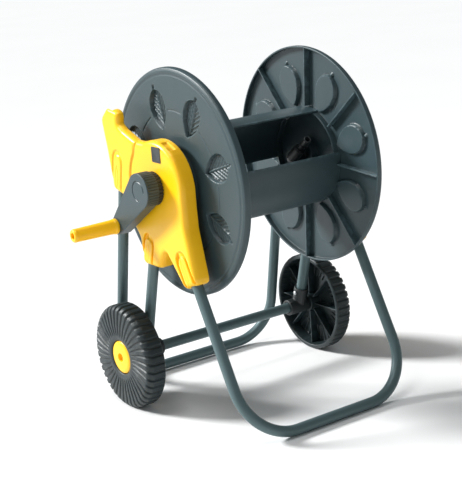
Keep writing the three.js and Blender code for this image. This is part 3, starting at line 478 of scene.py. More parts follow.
def tube_paint(rgb):
    """Satin powder coat with its slight orange peel."""
    material, shader = layered_material(
        "tube_paint", toned(rgb, 1.0), toned(rgb, 0.72), toned(rgb, 2.4, 0.02),
        toned(rgb, 0.4), (0.3, 9.0, 0.6), (0.27, 0.04), (700.0, 0.25, 0.15, 0.0003))
    shader.inputs["Metallic"].default_value = 0.35
    shader.inputs["Coat Weight"].default_value = 0.35
    shader.inputs["Coat Roughness"].default_value = 0.22
    return material


def zinc_plate(rgb):
    material, shader = layered_material(
        "zinc_plate", toned(rgb, 1.0), (0.55, 0.50, 0.38, 1.0), (0.85, 0.86, 0.87, 1.0),
        (0.16, 0.15, 0.13, 1.0), (0.4, 60.0, 0.6), (0.33, 0.1), (1800.0, 0.5, 0.25, 0.0003))
    shader.inputs["Metallic"].default_value = 1.0
    return material


def bush_moulding(rgb):
    material, _ = layered_material(
        "bush_moulding", toned(rgb, 1.0), toned(rgb, 0.82), toned(rgb, 1.1),
        toned(rgb, 0.4), (0.5, 30.0, 0.6), (0.36, 0.08), (1400.0, 0.5, 0.2, 0.0003))
    return material


def seal_rubber(rgb):
    material, _ = layered_material(
        "seal_rubber", toned(rgb, 1.0), toned(rgb, 2.2), toned(rgb, 4.0, 0.02),
        toned(rgb, 0.5), (0.5, 40.0, 0.6), (0.66, 0.1), (1600.0, 0.4, 0.4, 0.0004))
    return material


FINISHES = {
    "yellow_plastic": (yellow_moulding, "yellow"),
    "reel_plastic": (reel_moulding, "reel"),
    "black_plastic": (black_moulding, "black"),
    "wheel_plastic": (wheel_moulding, "wheel"),
    "tube_paint": (tube_paint, "paint"),
    "zinc_steel": (zinc_plate, "zinc"),
    "bush_plastic": (bush_moulding, "bush"),
    "seal_rubber": (seal_rubber, "rubber"),
}


def finish(slot):
    """The material of one of the record's slots, made the first time it is asked for."""
    maker, colour_name = FINISHES[slot]
    found = bpy.data.materials.get(maker.__name__)
    return found or maker(tuple(getattr(settings("colours"), colour_name)))


# ---------------------------------------------------------------- mesh making


def placed(points):
    """Millimetres from the reel axis as metres in the frame."""
    return np.asarray(points, float) * MM + np.array(REEL_AXIS)


def soft_corners(profile, radius, steps=4, closed=True):
    """A polyline with its corners rounded off by short curves."""
    points = [np.array(point, float) for point in profile]
    count = len(points)
    result = []
    for i, corner in enumerate(points):
        if not closed and i in (0, count - 1):
            result.append(corner)
            continue
        before = points[i - 1]
        after = points[(i + 1) % count]
        short = 0.42 * min(np.linalg.norm(before - corner), np.linalg.norm(after - corner))
        take = min(radius, short)
        enter = corner + take * (before - corner) / np.linalg.norm(before - corner)
        leave = corner + take * (after - corner) / np.linalg.norm(after - corner)
        for step in range(steps + 1):
            t = step / steps
            result.append((1 - t) ** 2 * enter + 2 * t * (1 - t) * corner + t ** 2 * leave)
    return np.array(result)


def evened(profile, step, closed=True):
    """A polyline with points added so that no stretch is longer than a step."""
    points = list(profile)
    ends = points[1:] + points[:1] if closed else points[1:]
    result = []
    for start, end in zip(points, ends):
        parts = max(1, int(math.ceil(np.linalg.norm(end - start) / step)))
        result.extend(start + (end - start) * i / parts for i in range(parts))
    if not closed:
        result.append(points[-1])
    return np.array(result)


def grid_faces(rows, columns, wrap_rows):
    """Quads between neighbouring rings of points; columns always close on themselves."""
    faces = []
    for i in range(rows if wrap_rows else rows - 1):
        low = i * columns
        high = ((i + 1) % rows) * columns
        for j in range(columns):
            k = (j + 1) % columns
            faces.append((low + j, low + k, high + k, high + j))
    return faces


def mesh_from(name, points, faces, weld=False):
    """A mesh with its faces turned outwards; weld joins the points that fall together."""
    mesh = bpy.data.meshes.new(name)
    mesh.from_pydata(np.asarray(points, float).tolist(), [], faces)
    shape = bmesh.new()
    shape.from_mesh(mesh)
    if weld:
        bmesh.ops.remove_doubles(shape, verts=shape.verts, dist=1e-6)
    bmesh.ops.recalc_face_normals(shape, faces=shape.faces)
    shape.to_mesh(mesh)
    shape.free()
    return mesh


def revolved(name, profile, sides, centre=(0.0, 0.0, 0.0), shift=None, closed=True):
    """A turned mesh about X from [radius, x] points; shift may move them by radius, angle and x."""
    profile = np.asarray(profile, float)
    angle = np.tile(2 * np.pi * np.arange(sides) / sides, (len(profile), 1))
    radius = np.tile(profile[:, :1], (1, sides))
    x = np.tile(profile[:, 1:2], (1, sides))
    if shift:
        radius, x = shift(radius, angle, x)
    points = np.stack([x, radius * np.cos(angle), radius * np.sin(angle)], -1).reshape(-1, 3)
    faces = grid_faces(len(profile), sides, closed)
    return mesh_from(name, placed(points + np.array(centre)), faces, weld=not closed)


def lofted(name, rings):
    """A closed mesh through rings with the same number of points, with flat ends."""
    columns = len(rings[0])
    faces = grid_faces(len(rings), columns, False)
    last = (len(rings) - 1) * columns
    faces.append(tuple(range(columns)))
    faces.append(tuple(range(last + columns - 1, last - 1, -1)))
    return mesh_from(name, placed(np.concatenate(rings)), faces)


def swept(name, stations, normal, radius, wall, sides=32):
    """A tube with an open bore along stations of (point, direction) that lie in one plane."""
    angle = 2 * np.pi * np.arange(sides) / sides
    rings = []
    for size, order in ((radius, stations), (radius - wall, stations[::-1])):
        for point, direction in order:
            side = np.cross(direction, normal)
            across = np.outer(np.cos(angle), side) + np.outer(np.sin(angle), normal)
            rings.append(np.array(point) + size * across)
    faces = grid_faces(len(rings), sides, True)
    return mesh_from(name, placed(np.concatenate(rings)), faces)


def radial_ribs(name, section, ends, count, centre, turn=0.0):
    """Straight ribs with one section between two radii, set evenly round an axis along X."""
    ribs = []
    for i in range(count):
        angle = 2 * math.pi * i / count + turn
        out = np.array([0, math.cos(angle), math.sin(angle)])
        side = np.array([0, -math.sin(angle), math.cos(angle)])
        rings = []
        for distance in ends:
            base = np.array(centre) + out * distance
            rings.append(base + np.outer(section[:, 0], side) + np.outer(section[:, 1], (1, 0, 0)))
        ribs.append(lofted(name, rings))
    return ribs


def joined(name, meshes):
    """Several closed meshes as one mesh."""
    shape = bmesh.new()
    for mesh in meshes:
        shape.from_mesh(mesh)
    result = bpy.data.meshes.new(name)
    shape.to_mesh(result)
    shape.free()
    return result


def link_object(name, mesh):
    piece = bpy.data.objects.new(name, mesh)
    bpy.context.scene.collection.objects.link(piece)
    return piece


def settle(piece):
    """Applies a piece's modifiers to its mesh."""
    graph = bpy.context.evaluated_depsgraph_get()
    mesh = bpy.data.meshes.new_from_object(piece.evaluated_get(graph))
    piece.modifiers.clear()
    piece.data = mesh


def moulded(name, mesh, voxel, passes, press=None):
    """Fuses a mesh into one skin with soft moulded edges; press may move its points."""
    piece = link_object(name, mesh)
    skin = piece.modifiers.new("skin", "REMESH")
    skin.mode = "VOXEL"
    skin.voxel_size = voxel * MM
    soften = piece.modifiers.new("soften", "SMOOTH")
    soften.factor = 0.5
    soften.iterations = passes
    settle(piece)
    result = piece.data
    bpy.data.objects.remove(piece)
    if press:
        points = np.empty(len(result.vertices) * 3)
        result.vertices.foreach_get("co", points)
        local = (points.reshape(-1, 3) - np.array(REEL_AXIS)) / MM
        result.vertices.foreach_set("co", placed(press(local)).ravel())
        result.update()
    return result


def drilled(mesh, cutter):
    """A mesh with another one cut out of it."""
    piece = link_object("drilled", mesh)
    tool = link_object("cutter", cutter)
    bite = piece.modifiers.new("bite", "BOOLEAN")
    bite.operation = "DIFFERENCE"
    bite.solver = "EXACT"
    bite.object = tool
    settle(piece)
    result = piece.data
    bpy.data.objects.remove(piece)
    bpy.data.objects.remove(tool)
    return result


def mirrored(mesh):
    """The same shape on the other side of the cart."""
    copy = mesh.copy()
    middle = Matrix.Translation(REEL_AXIS)
    copy.transform(middle @ Matrix.Diagonal((-1.0, 1.0, 1.0, 1.0)) @ middle.inverted())
    copy.flip_normals()
    return copy


def fit_piece(name, mesh, slot, node, smooth_angle=38):
    """Shows a mesh in place of a CAD node: names it, dresses it and lets it ride on the node's body."""
    mesh.name = name
    mesh.materials.clear()
    mesh.materials.append(finish(slot))
    mesh.shade_smooth()
    mesh.set_sharp_from_angle(angle=math.radians(smooth_angle))
    piece = link_object(name, mesh)
    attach(piece, frame["nodes"][node]["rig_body"])
    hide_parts(node)
    return piece


def fit_pair(name, mesh, slot, node, smooth_angle=38):
    """A piece made on the +X side, and its mirror image on the crank side."""
    fit_piece(name + "_left", mesh, slot, node + "_inlet", smooth_angle)
    fit_piece(name + "_right", mirrored(mesh), slot, node + "_crank", smooth_angle)


def dress(node, slot):
    """Gives a CAD node that keeps its own shape its finish."""
    piece = frame["nodes"][node]
    for place in piece.material_slots:
        place.material = finish(slot)


def node_mesh(node):
    return frame["nodes"][node].data.copy()


def ramp(value, low, high):
    """0 below low, 1 above high, and a smooth rise between them."""
    t = np.clip((value - low) / (high - low), 0.0, 1.0)
    return t * t * (3.0 - 2.0 * t)


# ---------------------------------------------------------------- tubes


def side_line(start, end):
    """Start, direction and length of a line in the side plane, from (back, up) points."""
    start = np.array(start, float)
    span = np.array(end, float) - start
    size = np.linalg.norm(span)
    return start, span / size, size


def on_line(line, along, x):
    start, direction, _ = line
    flat = start + direction * along
    return np.array([x, flat[0], flat[1]])


def foot_line():
    radius = in_mm("tubes", "radius")
    return side_line((0, 0), (FOOT_REST.y, FOOT_REST.z + radius))


def wheel_line():
    return side_line((in_mm("tubes", "leg_back"), 0), (WHEEL_AXLE.y, WHEEL_AXLE.z))


def handle_line():
    radius = in_mm("tubes", "radius")
    rear = reach("handle_tube", 1, 1) - radius
    low = reach("handle_tube", 2, 0) + radius
    return side_line((HANDLE_PIVOT.y, HANDLE_PIVOT.z), (rear, low))


def tube_spread(node):
    return reach(node, 0, 1) - in_mm("tubes", "radius")


def hoop(name, line, begin, bend, spread_x):
    """A U of tube: down a line on one side, across, and up again on the other."""
    down = np.array([0.0, line[1][0], line[1][1]])
    across = np.array([1.0, 0.0, 0.0])
    stations = [(on_line(line, begin, -spread_x), down)]
    steps = 28
    for side in (-1, 1):
        centre = on_line(line, line[2] - bend, side * (spread_x - bend))
        for i in range(steps + 1):
            angle = (math.pi / 2) * i / steps
            turn = angle if side < 0 else math.pi / 2 - angle
            point = centre + across * side * bend * math.cos(turn) + down * bend * math.sin(turn)
            stations.append((point, across * math.sin(turn) - down * side * math.cos(turn)))
    stations.append((on_line(line, begin, spread_x), -down))
    normal = np.cross(across, down)
    return swept(name, stations, normal, in_mm("tubes", "radius"), in_mm("tubes", "wall"))


def straight_tube(name, start, end):
    direction = (end - start) / np.linalg.norm(end - start)
    normal = np.array([0.0, -direction[2], direction[1]])
    if np.linalg.norm(normal) < 0.5:
        normal = np.array([0.0, 0.0, 1.0])
    normal = normal / np.linalg.norm(normal)
    stations = [(start, direction), (end, direction)]
    return swept(name, stations, normal, in_mm("tubes", "radius"), in_mm("tubes", "wall"))


class CART_OT_tubes(bpy.types.Operator):
    """Bends the foot and handle tubes and cuts the wheel legs and the crossbar."""

    bl_idname = "cart.tubes"
    bl_label = "Steel tubes"

    def execute(self, context):
        clear = in_mm("tubes", "top_clear")
        spread_x = tube_spread("foot_tube")
        foot = hoop("foot", foot_line(), clear, in_mm("tubes", "foot_bend"), spread_x)
        fit_piece("foot_hoop", foot, "tube_paint", "foot_tube")
        stub = -in_mm("tubes", "handle_stub")
        handle = hoop("handle", handle_line(), stub, in_mm("tubes", "handle_bend"), spread_x)
        room = in_mm("tubes", "pin_hole")
        hole = [[0.0, -2 * spread_x], [room, -2 * spread_x], [room, 2 * spread_x], [0.0, 2 * spread_x]]
        pin_hole = revolved("pin_hole", hole, 24, (0, HANDLE_PIVOT.y, HANDLE_PIVOT.z), closed=False)
        fit_piece("handle_hoop", drilled(handle, pin_hole), "tube_paint", "handle_tube")
        line = wheel_line()
        low = line[2] - 12
        leg = straight_tube("leg", on_line(line, clear, spread_x), on_line(line, low, spread_x))
        fit_pair("wheel_leg_tube", leg, "tube_paint", "wheel_leg")
        ends = [np.array([reach("axle_crossbar", 0, side), WHEEL_AXLE.y, WHEEL_AXLE.z]) for side in (0, 1)]
        fit_piece("crossbar_tube", straight_tube("bar", *ends), "tube_paint", "axle_crossbar")
        return {"FINISHED"}


# ---------------------------------------------------------------- side panels


def along_and_beside(points, line):
    """Each point's distance along a line of the side plane and its distance from it."""
    start, direction, _ = line
    flat = points[:, 1:3] - start
    along = flat @ direction
    beside = flat @ np.array([-direction[1], direction[0]])
    return along, beside


def press_panel(points):
    """Presses in an oval on each tongue, the groove beside the arm and the clip pocket on the dome."""
    face = reach("side_panel_inlet", 0, 1)
    outer = ramp(points[:, 0], face - 5.5, face - 4.0)
    sunk = np.zeros(len(points))
    tongues = ((foot_line(), 156), (wheel_line(), 130), (handle_line(), 42))  # middle of each oval
    for line, middle in tongues:
        along, beside = along_and_beside(points, line)
        oval = np.hypot((along - middle) / in_mm("panels", "oval_length"),
                        beside / in_mm("panels", "oval_width"))
        sunk += in_mm("panels", "oval_depth") * (ramp(oval, 0.72, 0.92) - ramp(oval, 1.08, 1.28))
    radius = np.hypot(points[:, 1], points[:, 2])
    angle = np.degrees(np.arctan2(points[:, 2], points[:, 1]))
    seam_radius = in_mm("panels", "seam_radius") + 10.0 * ramp(angle, 36, 56)
    seam_span = ramp(angle, -14, -2) * (1 - ramp(angle, 62, 68))
    seam = (1 - ramp(np.abs(radius - seam_radius), 0.3, 4.0)) * seam_span
    sunk += in_mm("panels", "seam_depth") * seam
    moved = points.copy()
    moved[:, 0] -= sunk * outer
    half = in_mm("panels", "pocket_width")
    pocket = 1 - ramp(np.abs(points[:, 0] - face + 14), half, half + 1.4)
    pocket = pocket * (1 - ramp(np.abs(angle - 112), 8.5, 10)) * ramp(radius, 73, 75)
    pressed = in_mm("panels", "pocket_depth") * pocket / np.maximum(radius, 1.0)
    moved[:, 1:] *= 1 - pressed[:, None]
    return moved


class CART_OT_panels(bpy.types.Operator):
    """Moulds the two side panels, with soft edges and their pressed detail."""

    bl_idname = "cart.panels"
    bl_label = "Side panels"

    def execute(self, context):
        for node, name in (("side_panel_inlet", "panel_left"), ("side_panel_crank", "panel_right")):
            source = node_mesh(node)
            if node == "side_panel_crank":
                source = mirrored(source)
            skin = moulded(name, source, 1.25, 7, press_panel)
            if node == "side_panel_crank":
                skin = mirrored(skin)
            fit_piece(name, skin, "yellow_plastic", node, 75)
        return {"FINISHED"}


class CART_OT_badge(bpy.types.Operator):
    """Sets the blank badge on the dome."""

    bl_idname = "cart.badge"
    bl_label = "Badge"

    def execute(self, context):
        low, high = (from_axis(corner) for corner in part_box("badge_plate"))
        corners = [(low.y, low.z), (high.y, low.z), (high.y, high.z), (low.y, high.z)]
        outline = soft_corners(corners, 2.5, 5)
        centre = outline.mean(0)
        rings = []
        steps = ((high.x, 1.0), (low.x + 0.25, 1.0), (low.x, 0.96), (low.x, 0.84), (low.x + 0.3, 0.80))
        for x, scale in steps:
            flat = centre + (outline - centre) * scale
            rings.append(np.column_stack([np.full(len(flat), x), flat]))
        fit_piece("blank_badge", lofted("badge", rings), "black_plastic", "badge_plate", 30)
        return {"FINISHED"}


# ---------------------------------------------------------------- reel


def leaf_field(radius, angle, grow=0.0):
    """How far a point lies inside the nearest leaf, and its place along and across that leaf."""
    pitch = 2 * np.pi / settings("reel").leaves
    away = np.mod(angle - settings("reel").leaf_turn, pitch) - pitch / 2
    inner = in_mm("reel", "leaf_inner") - 1.3 * grow
    outer = in_mm("reel", "leaf_outer") + grow
    along = (radius * np.cos(away) - inner) / (outer - inner)
    across = radius * np.sin(away)
    half = in_mm("reel", "leaf_width") / 2 + grow
    belly = 0.58
    t = np.clip(along, 0.0, 1.0)
    rising = np.clip(t / belly, 0, 1)
    falling = np.clip((t - belly) / (1 - belly), 0, 1)
    width = half * np.where(t < belly, (1 - (1 - rising) ** 2) ** 0.95, (1 - falling ** 2.4) ** 0.62)
    inside = np.where((along > 0) & (along < 1), width - np.abs(across), -np.abs(across) - 1)
    return inside, along, across


def leaf_veins(along, across):
    """Raised midrib and side veins of a leaf's floor."""
    midrib = 1 - ramp(np.abs(across), 0.6, 2.2)
    slant = np.mod(along * 7.0 - np.abs(across) * 0.12, 1.0)
    side = 1 - ramp(np.abs(slant - 0.5), 0.06, 0.24)
    return np.maximum(midrib * 2.4, side * 1.5)


def stem_field(radius, angle):
    """The short stem past the outer end of each leaf."""
    pitch = 2 * np.pi / settings("reel").leaves
    away = np.mod(angle - settings("reel").leaf_turn, pitch) - pitch / 2
    outer = in_mm("reel", "leaf_outer")
    across = radius * np.sin(away) - 0.25 * (radius - outer)
    reach_out = ramp(radius, outer - 6, outer - 2) * (1 - ramp(radius, outer + 7, outer + 9.5))
    return reach_out * (1 - ramp(np.abs(across), 1.6, 3.2))


def flange_shift(face, back):
    """Moves a plain turned flange into its moulded shape: leaves, stems, arc grooves and square hub."""
    depth = in_mm("reel", "leaf_depth")
    arc = in_mm("reel", "arc_radius")

    def shift(radius, angle, x):
        outer = x > face - 1.0
        inner = (x < back + 0.01) & (x > back - 1.0)
        inside, along, across = leaf_field(radius, angle)
        floor = ramp(inside, -0.6, 2.2)
        veins = leaf_veins(along, across) * ramp(inside, 2.0, 4.5)
        stem = stem_field(radius, angle)
        sunk = np.maximum(floor * depth, stem * depth * 0.55) - veins
        groove = (1 - ramp(np.abs(radius - arc), 0.5, 1.5)) * (1 - ramp(inside, -9.0, -5.0))
        bead = 1 - ramp(np.abs(radius - 188.5), 1.2, 3.2)
        sunk = sunk + groove * 1.1 + bead * 1.0
        bulge, _, _ = leaf_field(radius, angle, 2.7)
        proud = np.maximum(ramp(bulge, -0.6, 2.2) * depth, stem * depth * 0.5)
        moved = x - np.where(outer & (radius > 70), sunk, 0.0) - np.where(inner & (radius > 88), proud, 0.0)
        square = radius / np.maximum(np.abs(np.cos(angle)), np.abs(np.sin(angle)))
        return np.where(radius < 9.9, square, radius), moved

    return shift


def flange_profile(face, back):
    """Half section of a flange as [radius, x], finely divided where the leaves are."""
    rim = reach("flange_inlet", 2, 1)
    pad_face = reach("flange_inlet", 0, 1)
    pad = in_mm("reel", "hub_pad")
    lip = face - in_mm("reel", "lip")
    hole = 9.8
    ring = in_mm("reel", "drum_radius") - in_mm("reel", "drum_wall") - 0.8
    hub_inner = back - 15
    corners = [
        [hole, pad_face], [pad, pad_face], [pad + 2, face], [rim - 6, face], [rim - 1.4, face - 1.6],
        [rim, face - 5], [rim, lip], [rim - 3.2, lip], [rim - 3.2, back], [ring, back],
        [ring, back - 11], [ring - 3, back - 11], [ring - 3, back], [26, back], [26, hub_inner],
        [hole, hub_inner],
    ]
    return evened(soft_corners(corners, 1.1, 3), 1.5)


def flange_mesh():
    face = reach("flange_inlet", 0, 1) - 2.0
    back = face - in_mm("reel", "plate")
    disc = revolved("disc", flange_profile(face, back), 600, shift=flange_shift(face, back))
    height = in_mm("reel", "rib_height")
    section = soft_corners([[-1.2, 1.0], [-1.2, -height], [1.2, -height], [1.2, 1.0]], 0.7, 3)
    ends = (in_mm("reel", "drum_radius") + 2, reach("flange_inlet", 2, 1) - 2.6)
    reel = settings("reel")
    ribs = radial_ribs("rib", section, ends, reel.leaves, (back, 0, 0), reel.leaf_turn)
    return joined("flange", [disc, *ribs])


class CART_OT_flanges(bpy.types.Operator):
    """Moulds the two flanges with their leaf recesses, ribs and rims."""

    bl_idname = "cart.flanges"
    bl_label = "Flanges"

    def execute(self, context):
        fit_pair("flange_disc", flange_mesh(), "reel_plastic", "flange", 50)
        return {"FINISHED"}


def slat_mesh(from_degrees, to_degrees):
    """A curved slat of the drum between two angles of the side plane."""
    outer = in_mm("reel", "drum_radius")
    inner = outer - in_mm("reel", "drum_wall")
    half = reach("drum_slat_upper", 0, 1)
    angles = np.radians(np.linspace(from_degrees, to_degrees, 49))
    arc = np.column_stack([np.cos(angles), np.sin(angles)])
    section = np.concatenate([arc * outer, arc[::-1] * inner])
    bead = 0.9
    rings = []
    middle_rings = [(x, 0) for x in np.linspace(-half + bead, half - bead, 80)]
    for x, inset in ((-half, bead), *middle_rings, (half, bead)):
        size = np.linalg.norm(section, axis=1, keepdims=True)
        target = np.where(size > (outer + inner) / 2, size - inset, size + inset)
        flat = section / size * target
        rings.append(np.column_stack([np.full(len(flat), x), flat]))
    return lofted("slat", rings)


class CART_OT_drum(bpy.types.Operator):
    """Makes the two curved slats of the drum."""

    bl_idname = "cart.drum"
    bl_label = "Drum"

    def execute(self, context):
        gap_start = math.degrees(settings("reel").gap_start)
        gap_angle = math.degrees(settings("reel").gap_angle)
        upper_end = 180 - gap_start - gap_angle
        upper_start = -gap_start
        spans = (("drum_slat_upper", upper_start, upper_end),
                 ("drum_slat_lower", upper_start - 180, upper_end - 180))
        for node, from_degrees, to_degrees in spans:
            slat = slat_mesh(from_degrees, to_degrees)
            fit_piece(node.replace("slat", "shell"), slat, "reel_plastic", node, 30)
        return {"FINISHED"}


# ---------------------------------------------------------------- crank


def crank_outline(inset, x):
    """A ring round the crank's head and tip at one distance along X."""
    head = in_mm("crank", "head_radius") - inset
    tip = in_mm("crank", "tip_radius") - inset
    centre = np.array([GRIP_AXIS.y, GRIP_AXIS.z])
    reach_out = np.linalg.norm(centre)
    axis = math.atan2(centre[1], centre[0])
    flare = math.acos((head - tip) / reach_out)
    head_angles = np.linspace(axis + flare, axis + 2 * math.pi - flare, 56)
    tip_angles = np.linspace(axis - flare, axis + flare, 24)
    ring = [np.column_stack([np.cos(head_angles), np.sin(head_angles)]) * head,
            centre + np.column_stack([np.cos(tip_angles), np.sin(tip_angles)]) * tip]
    flat = np.concatenate(ring)
    return np.column_stack([np.full(len(flat), x), flat])


def press_crank(points):
    """Sinks a turning arrow into the head and ribs its round side."""
    face = reach("crank_arm", 0, 0)
    outer = 1 - ramp(points[:, 0], face + 0.5, face + 1.2)
    radius = np.hypot(points[:, 1], points[:, 2])
    angle = np.degrees(np.arctan2(points[:, 2], points[:, 1]))
    turned = np.mod(angle + 95, 360)
    middle = in_mm("crank", "arrow_radius")
    arc = (1 - ramp(np.abs(radius - middle), 0.7, 1.5)) * (1 - ramp(turned, 275, 282)) * ramp(turned, 14, 20)
    tip = np.radians(-95 + 14)
    head_y = points[:, 1] - middle * np.cos(tip)
    head_z = points[:, 2] - middle * np.sin(tip)
    forward = head_y * np.sin(tip) - head_z * np.cos(tip)
    aside = head_y * np.cos(tip) + head_z * np.sin(tip)
    arrow = 1 - ramp(np.abs(aside) - 0.44 * (5.0 - forward), -0.4, 0.5)
    arrow = arrow * ramp(forward, -1.4, -0.8) * (1 - ramp(forward, 5.6, 6.2))
    moved = points.copy()
    moved[:, 0] += outer * in_mm("crank", "arrow_depth") * np.maximum(arc, arrow)
    axis = math.degrees(math.atan2(GRIP_AXIS.z, GRIP_AXIS.y))
    from_arm = np.abs(np.mod(angle - axis + 180, 360) - 180)
    ribbed = ramp(from_arm, 84, 90) * ramp(radius, 29.5, 31.0) * ramp(points[:, 0], face + 2.5, face + 4.0)
    wave = ramp(0.5 + 0.5 * np.cos(np.radians(angle) * 40), 0.45, 0.9)
    shrink = 1 - 1.3 * ribbed * wave / np.maximum(radius, 1.0)
    moved[:, 1:3] *= shrink[:, None]
    return moved


class CART_OT_crank(bpy.types.Operator):
    """Moulds the crank arm and its ribbed collar."""

    bl_idname = "cart.crank"
    bl_label = "Crank"

    def execute(self, context):
        face, back = ends_of("crank_arm")
        wall = in_mm("crank", "wall")
        shell = lofted("shell", [
            crank_outline(wall, face + wall), crank_outline(wall, back),
            crank_outline(0, back), crank_outline(0, face),
        ])
        boss = revolved("boss", [[0, back], [18, back], [18, face + 1], [0, face + 1]], 48, closed=False)
        tip = revolved("tip", [[0, back], [10, back], [10, face + 1], [0, face + 1]], 32,
                       (0, GRIP_AXIS.y, GRIP_AXIS.z), closed=False)
        arm = moulded("arm", joined("arm", [shell, boss, tip]), 0.75, 5, press_crank)
        fit_piece("crank_lever", arm, "reel_plastic", "crank_arm", 75)
        self.collar()
        return {"FINISHED"}

    @staticmethod
    def collar():
        low, high = ends_of("crank_collar")
        outer = in_mm("crank", "collar_radius")
        bore = in_mm("crank", "collar_bore")
        ribs = settings("crank").collar_ribs

        def shift(radius, angle, x):
            wave = 0.5 + 0.5 * np.cos(ribs * angle)
            grip = ramp(wave, 0.25, 0.7)
            return np.where(radius > 26, radius - 1.5 * (1 - grip), radius), x

        corners = [[bore, low], [outer, low], [outer, high], [bore, high]]
        profile = evened(soft_corners(corners, 1.0, 4), 2.0)
        ring = revolved("collar", profile, 480, shift=shift)
        fit_piece("collar_ring", ring, "black_plastic", "crank_collar", 50)


class CART_OT_grip(bpy.types.Operator):
    """Turns the grip, its spindle and the ring that keeps it on."""

    bl_idname = "cart.grip"
    bl_label = "Grip"

    def execute(self, context):
        centre = (0, GRIP_AXIS.y, GRIP_AXIS.z)
        end, root = ends_of("crank_grip")
        spindle_end, root_end = ends_of("grip_spindle")
        radius = in_mm("crank", "spindle_radius")
        thick, slim = in_mm("crank", "grip_root"), in_mm("crank", "grip_tip")
        bore, clear = in_mm("crank", "grip_bore"), radius + 0.3
        corners = [
            [clear, root], [thick - 1, root], [thick, root - 2], [thick - 0.1, root - 6],
            [thick - 0.8, root - 8], [thick - 1.1, root - 12], [slim + 0.1, end + 9], [slim + 0.4, end + 5],
            [slim, end + 2.4], [slim - 1.8, end], [bore + 0.7, end], [bore, end + 1.2],
            [bore, spindle_end + 3], [clear, spindle_end + 3.6],
        ]
        profile = evened(soft_corners(corners, 2.4, 5), 3.0)
        fit_piece("hand_grip", revolved("grip", profile, 72, centre), "yellow_plastic", "crank_grip", 50)
        rod = [[0, root_end], [radius, root_end], [radius, spindle_end], [0, spindle_end]]
        rod = soft_corners(rod, 0.8, 3, closed=False)
        spindle = revolved("spindle", rod, 40, centre, closed=False)
        fit_piece("spindle_pin", spindle, "zinc_steel", "grip_spindle")
        low, high = ends_of("grip_ring")
        ring = soft_corners([[4.7, low], [5.3, low], [5.3, high], [4.7, high]], 0.3, 3)
        fit_piece("retainer_ring", revolved("ring", ring, 40, centre), "zinc_steel", "grip_ring")
        return {"FINISHED"}


# ---------------------------------------------------------------- water parts and bearings


class CART_OT_water(bpy.types.Operator):
    """Turns the inlet connector and bushes and moulds the outlet elbow."""

    bl_idname = "cart.water"
    bl_label = "Water parts"

    def execute(self, context):
        self.connector()
        elbow = moulded("elbow", node_mesh("outlet_elbow"), 0.7, 5)
        fit_piece("outlet_bend", elbow, "black_plastic", "outlet_elbow", 60)
        low, high = ends_of("bearing_bush_inlet")
        bore, radius, lip = (in_mm("fittings", "bush_" + part) for part in ("bore", "radius", "lip"))
        shoulder = low + 2.4
        corners = [[bore, low], [lip, low], [lip, shoulder], [radius, shoulder], [radius, high], [bore, high]]
        bush = revolved("bush", soft_corners(corners, 0.6, 3), 64)
        fit_pair("bush", bush, "bush_plastic", "bearing_bush")
        for node, name in (("seal_ring_inner", "seal_low"), ("seal_ring_outer", "seal_high")):
            low, high = ends_of(node)
            corners = [[5.5, low], [7.25, low], [7.25, high], [5.5, high]]
            seal = revolved(name, soft_corners(corners, 0.8, 5), 48)
            fit_piece(name, seal, "seal_rubber", node)
        dress("crank_shaft", "black_plastic")
        dress("water_shaft", "black_plastic")
        return {"FINISHED"}

    @staticmethod
    def connector():
        low, end = ends_of("inlet_connector")
        panel = reach("side_panel_inlet", 0, 1)
        bore = in_mm("fittings", "inlet_bore")
        lip = in_mm("fittings", "inlet_lip")
        corners = [[bore, low], [6.9, low], [6.9, panel - 3], [13, panel - 3], [13, panel + 0.4],
                   [lip, panel + 0.4], [lip, panel + 3.3], [16.5, panel + 3.3], [14, panel + 4.3],
                   [11, panel + 11], [8.5, panel + 11], [8.5, end - 13], [7, end - 12], [7, end - 9],
                   [8.5, end - 8], [8.5, end], [bore, end]]
        profile = evened(soft_corners(corners, 0.9, 3), 2.5)

        def ribbed(radius, angle, x):
            nut = (x > panel + 3.6) & (x < panel + 11.2) & (radius > 9)
            knurl = 0.5 + 0.5 * np.cos(24 * angle)
            return radius - np.where(nut, 0.7 * (1 - ramp(knurl, 0.2, 0.7)), 0.0), x

        spout = revolved("connector", profile, 288, shift=ribbed)
        fit_piece("inlet_spout", spout, "black_plastic", "inlet_connector", 50)


# ---------------------------------------------------------------- wheels and axle


def wheel_profile():
    """Half section of a wheel as [radius, x], with a full round shoulder."""
    inner = reach("wheel_inlet", 0, 0) + 1.6
    outer = reach("wheel_inlet", 0, 1)
    rim = round_radius("wheel_inlet")
    shoulder = in_mm("wheels", "shoulder")
    bore = in_mm("wheels", "bore")
    hub = in_mm("wheels", "hub_radius")
    cap_room = round_radius("hub_cap_inlet") + 0.3
    seat = outer - in_mm("wheels", "cap_seat")
    round_steps = [math.radians(angle) for angle in range(0, 91, 6)]
    arc = [[rim - shoulder + shoulder * math.cos(a), outer - 1.2 - shoulder + shoulder * math.sin(a)]
           for a in round_steps]
    corners = [
        [bore, inner - 1.6], [hub, inner - 1.6], [hub, inner + 5], [hub + 2, seat - 6.5], [52, outer - 16],
        [rim - 12, outer - 14], [rim - 8.5, inner + 0.6], [rim - 7, inner], [rim - 2.5, inner],
        [rim, inner + 3], *arc, [62, outer], [36, outer - 0.9], [cap_room + 0.7, outer - 2.2],
        [cap_room, seat], [bore, seat],
    ]
    return evened(soft_corners(corners, 1.6, 3), 1.8)


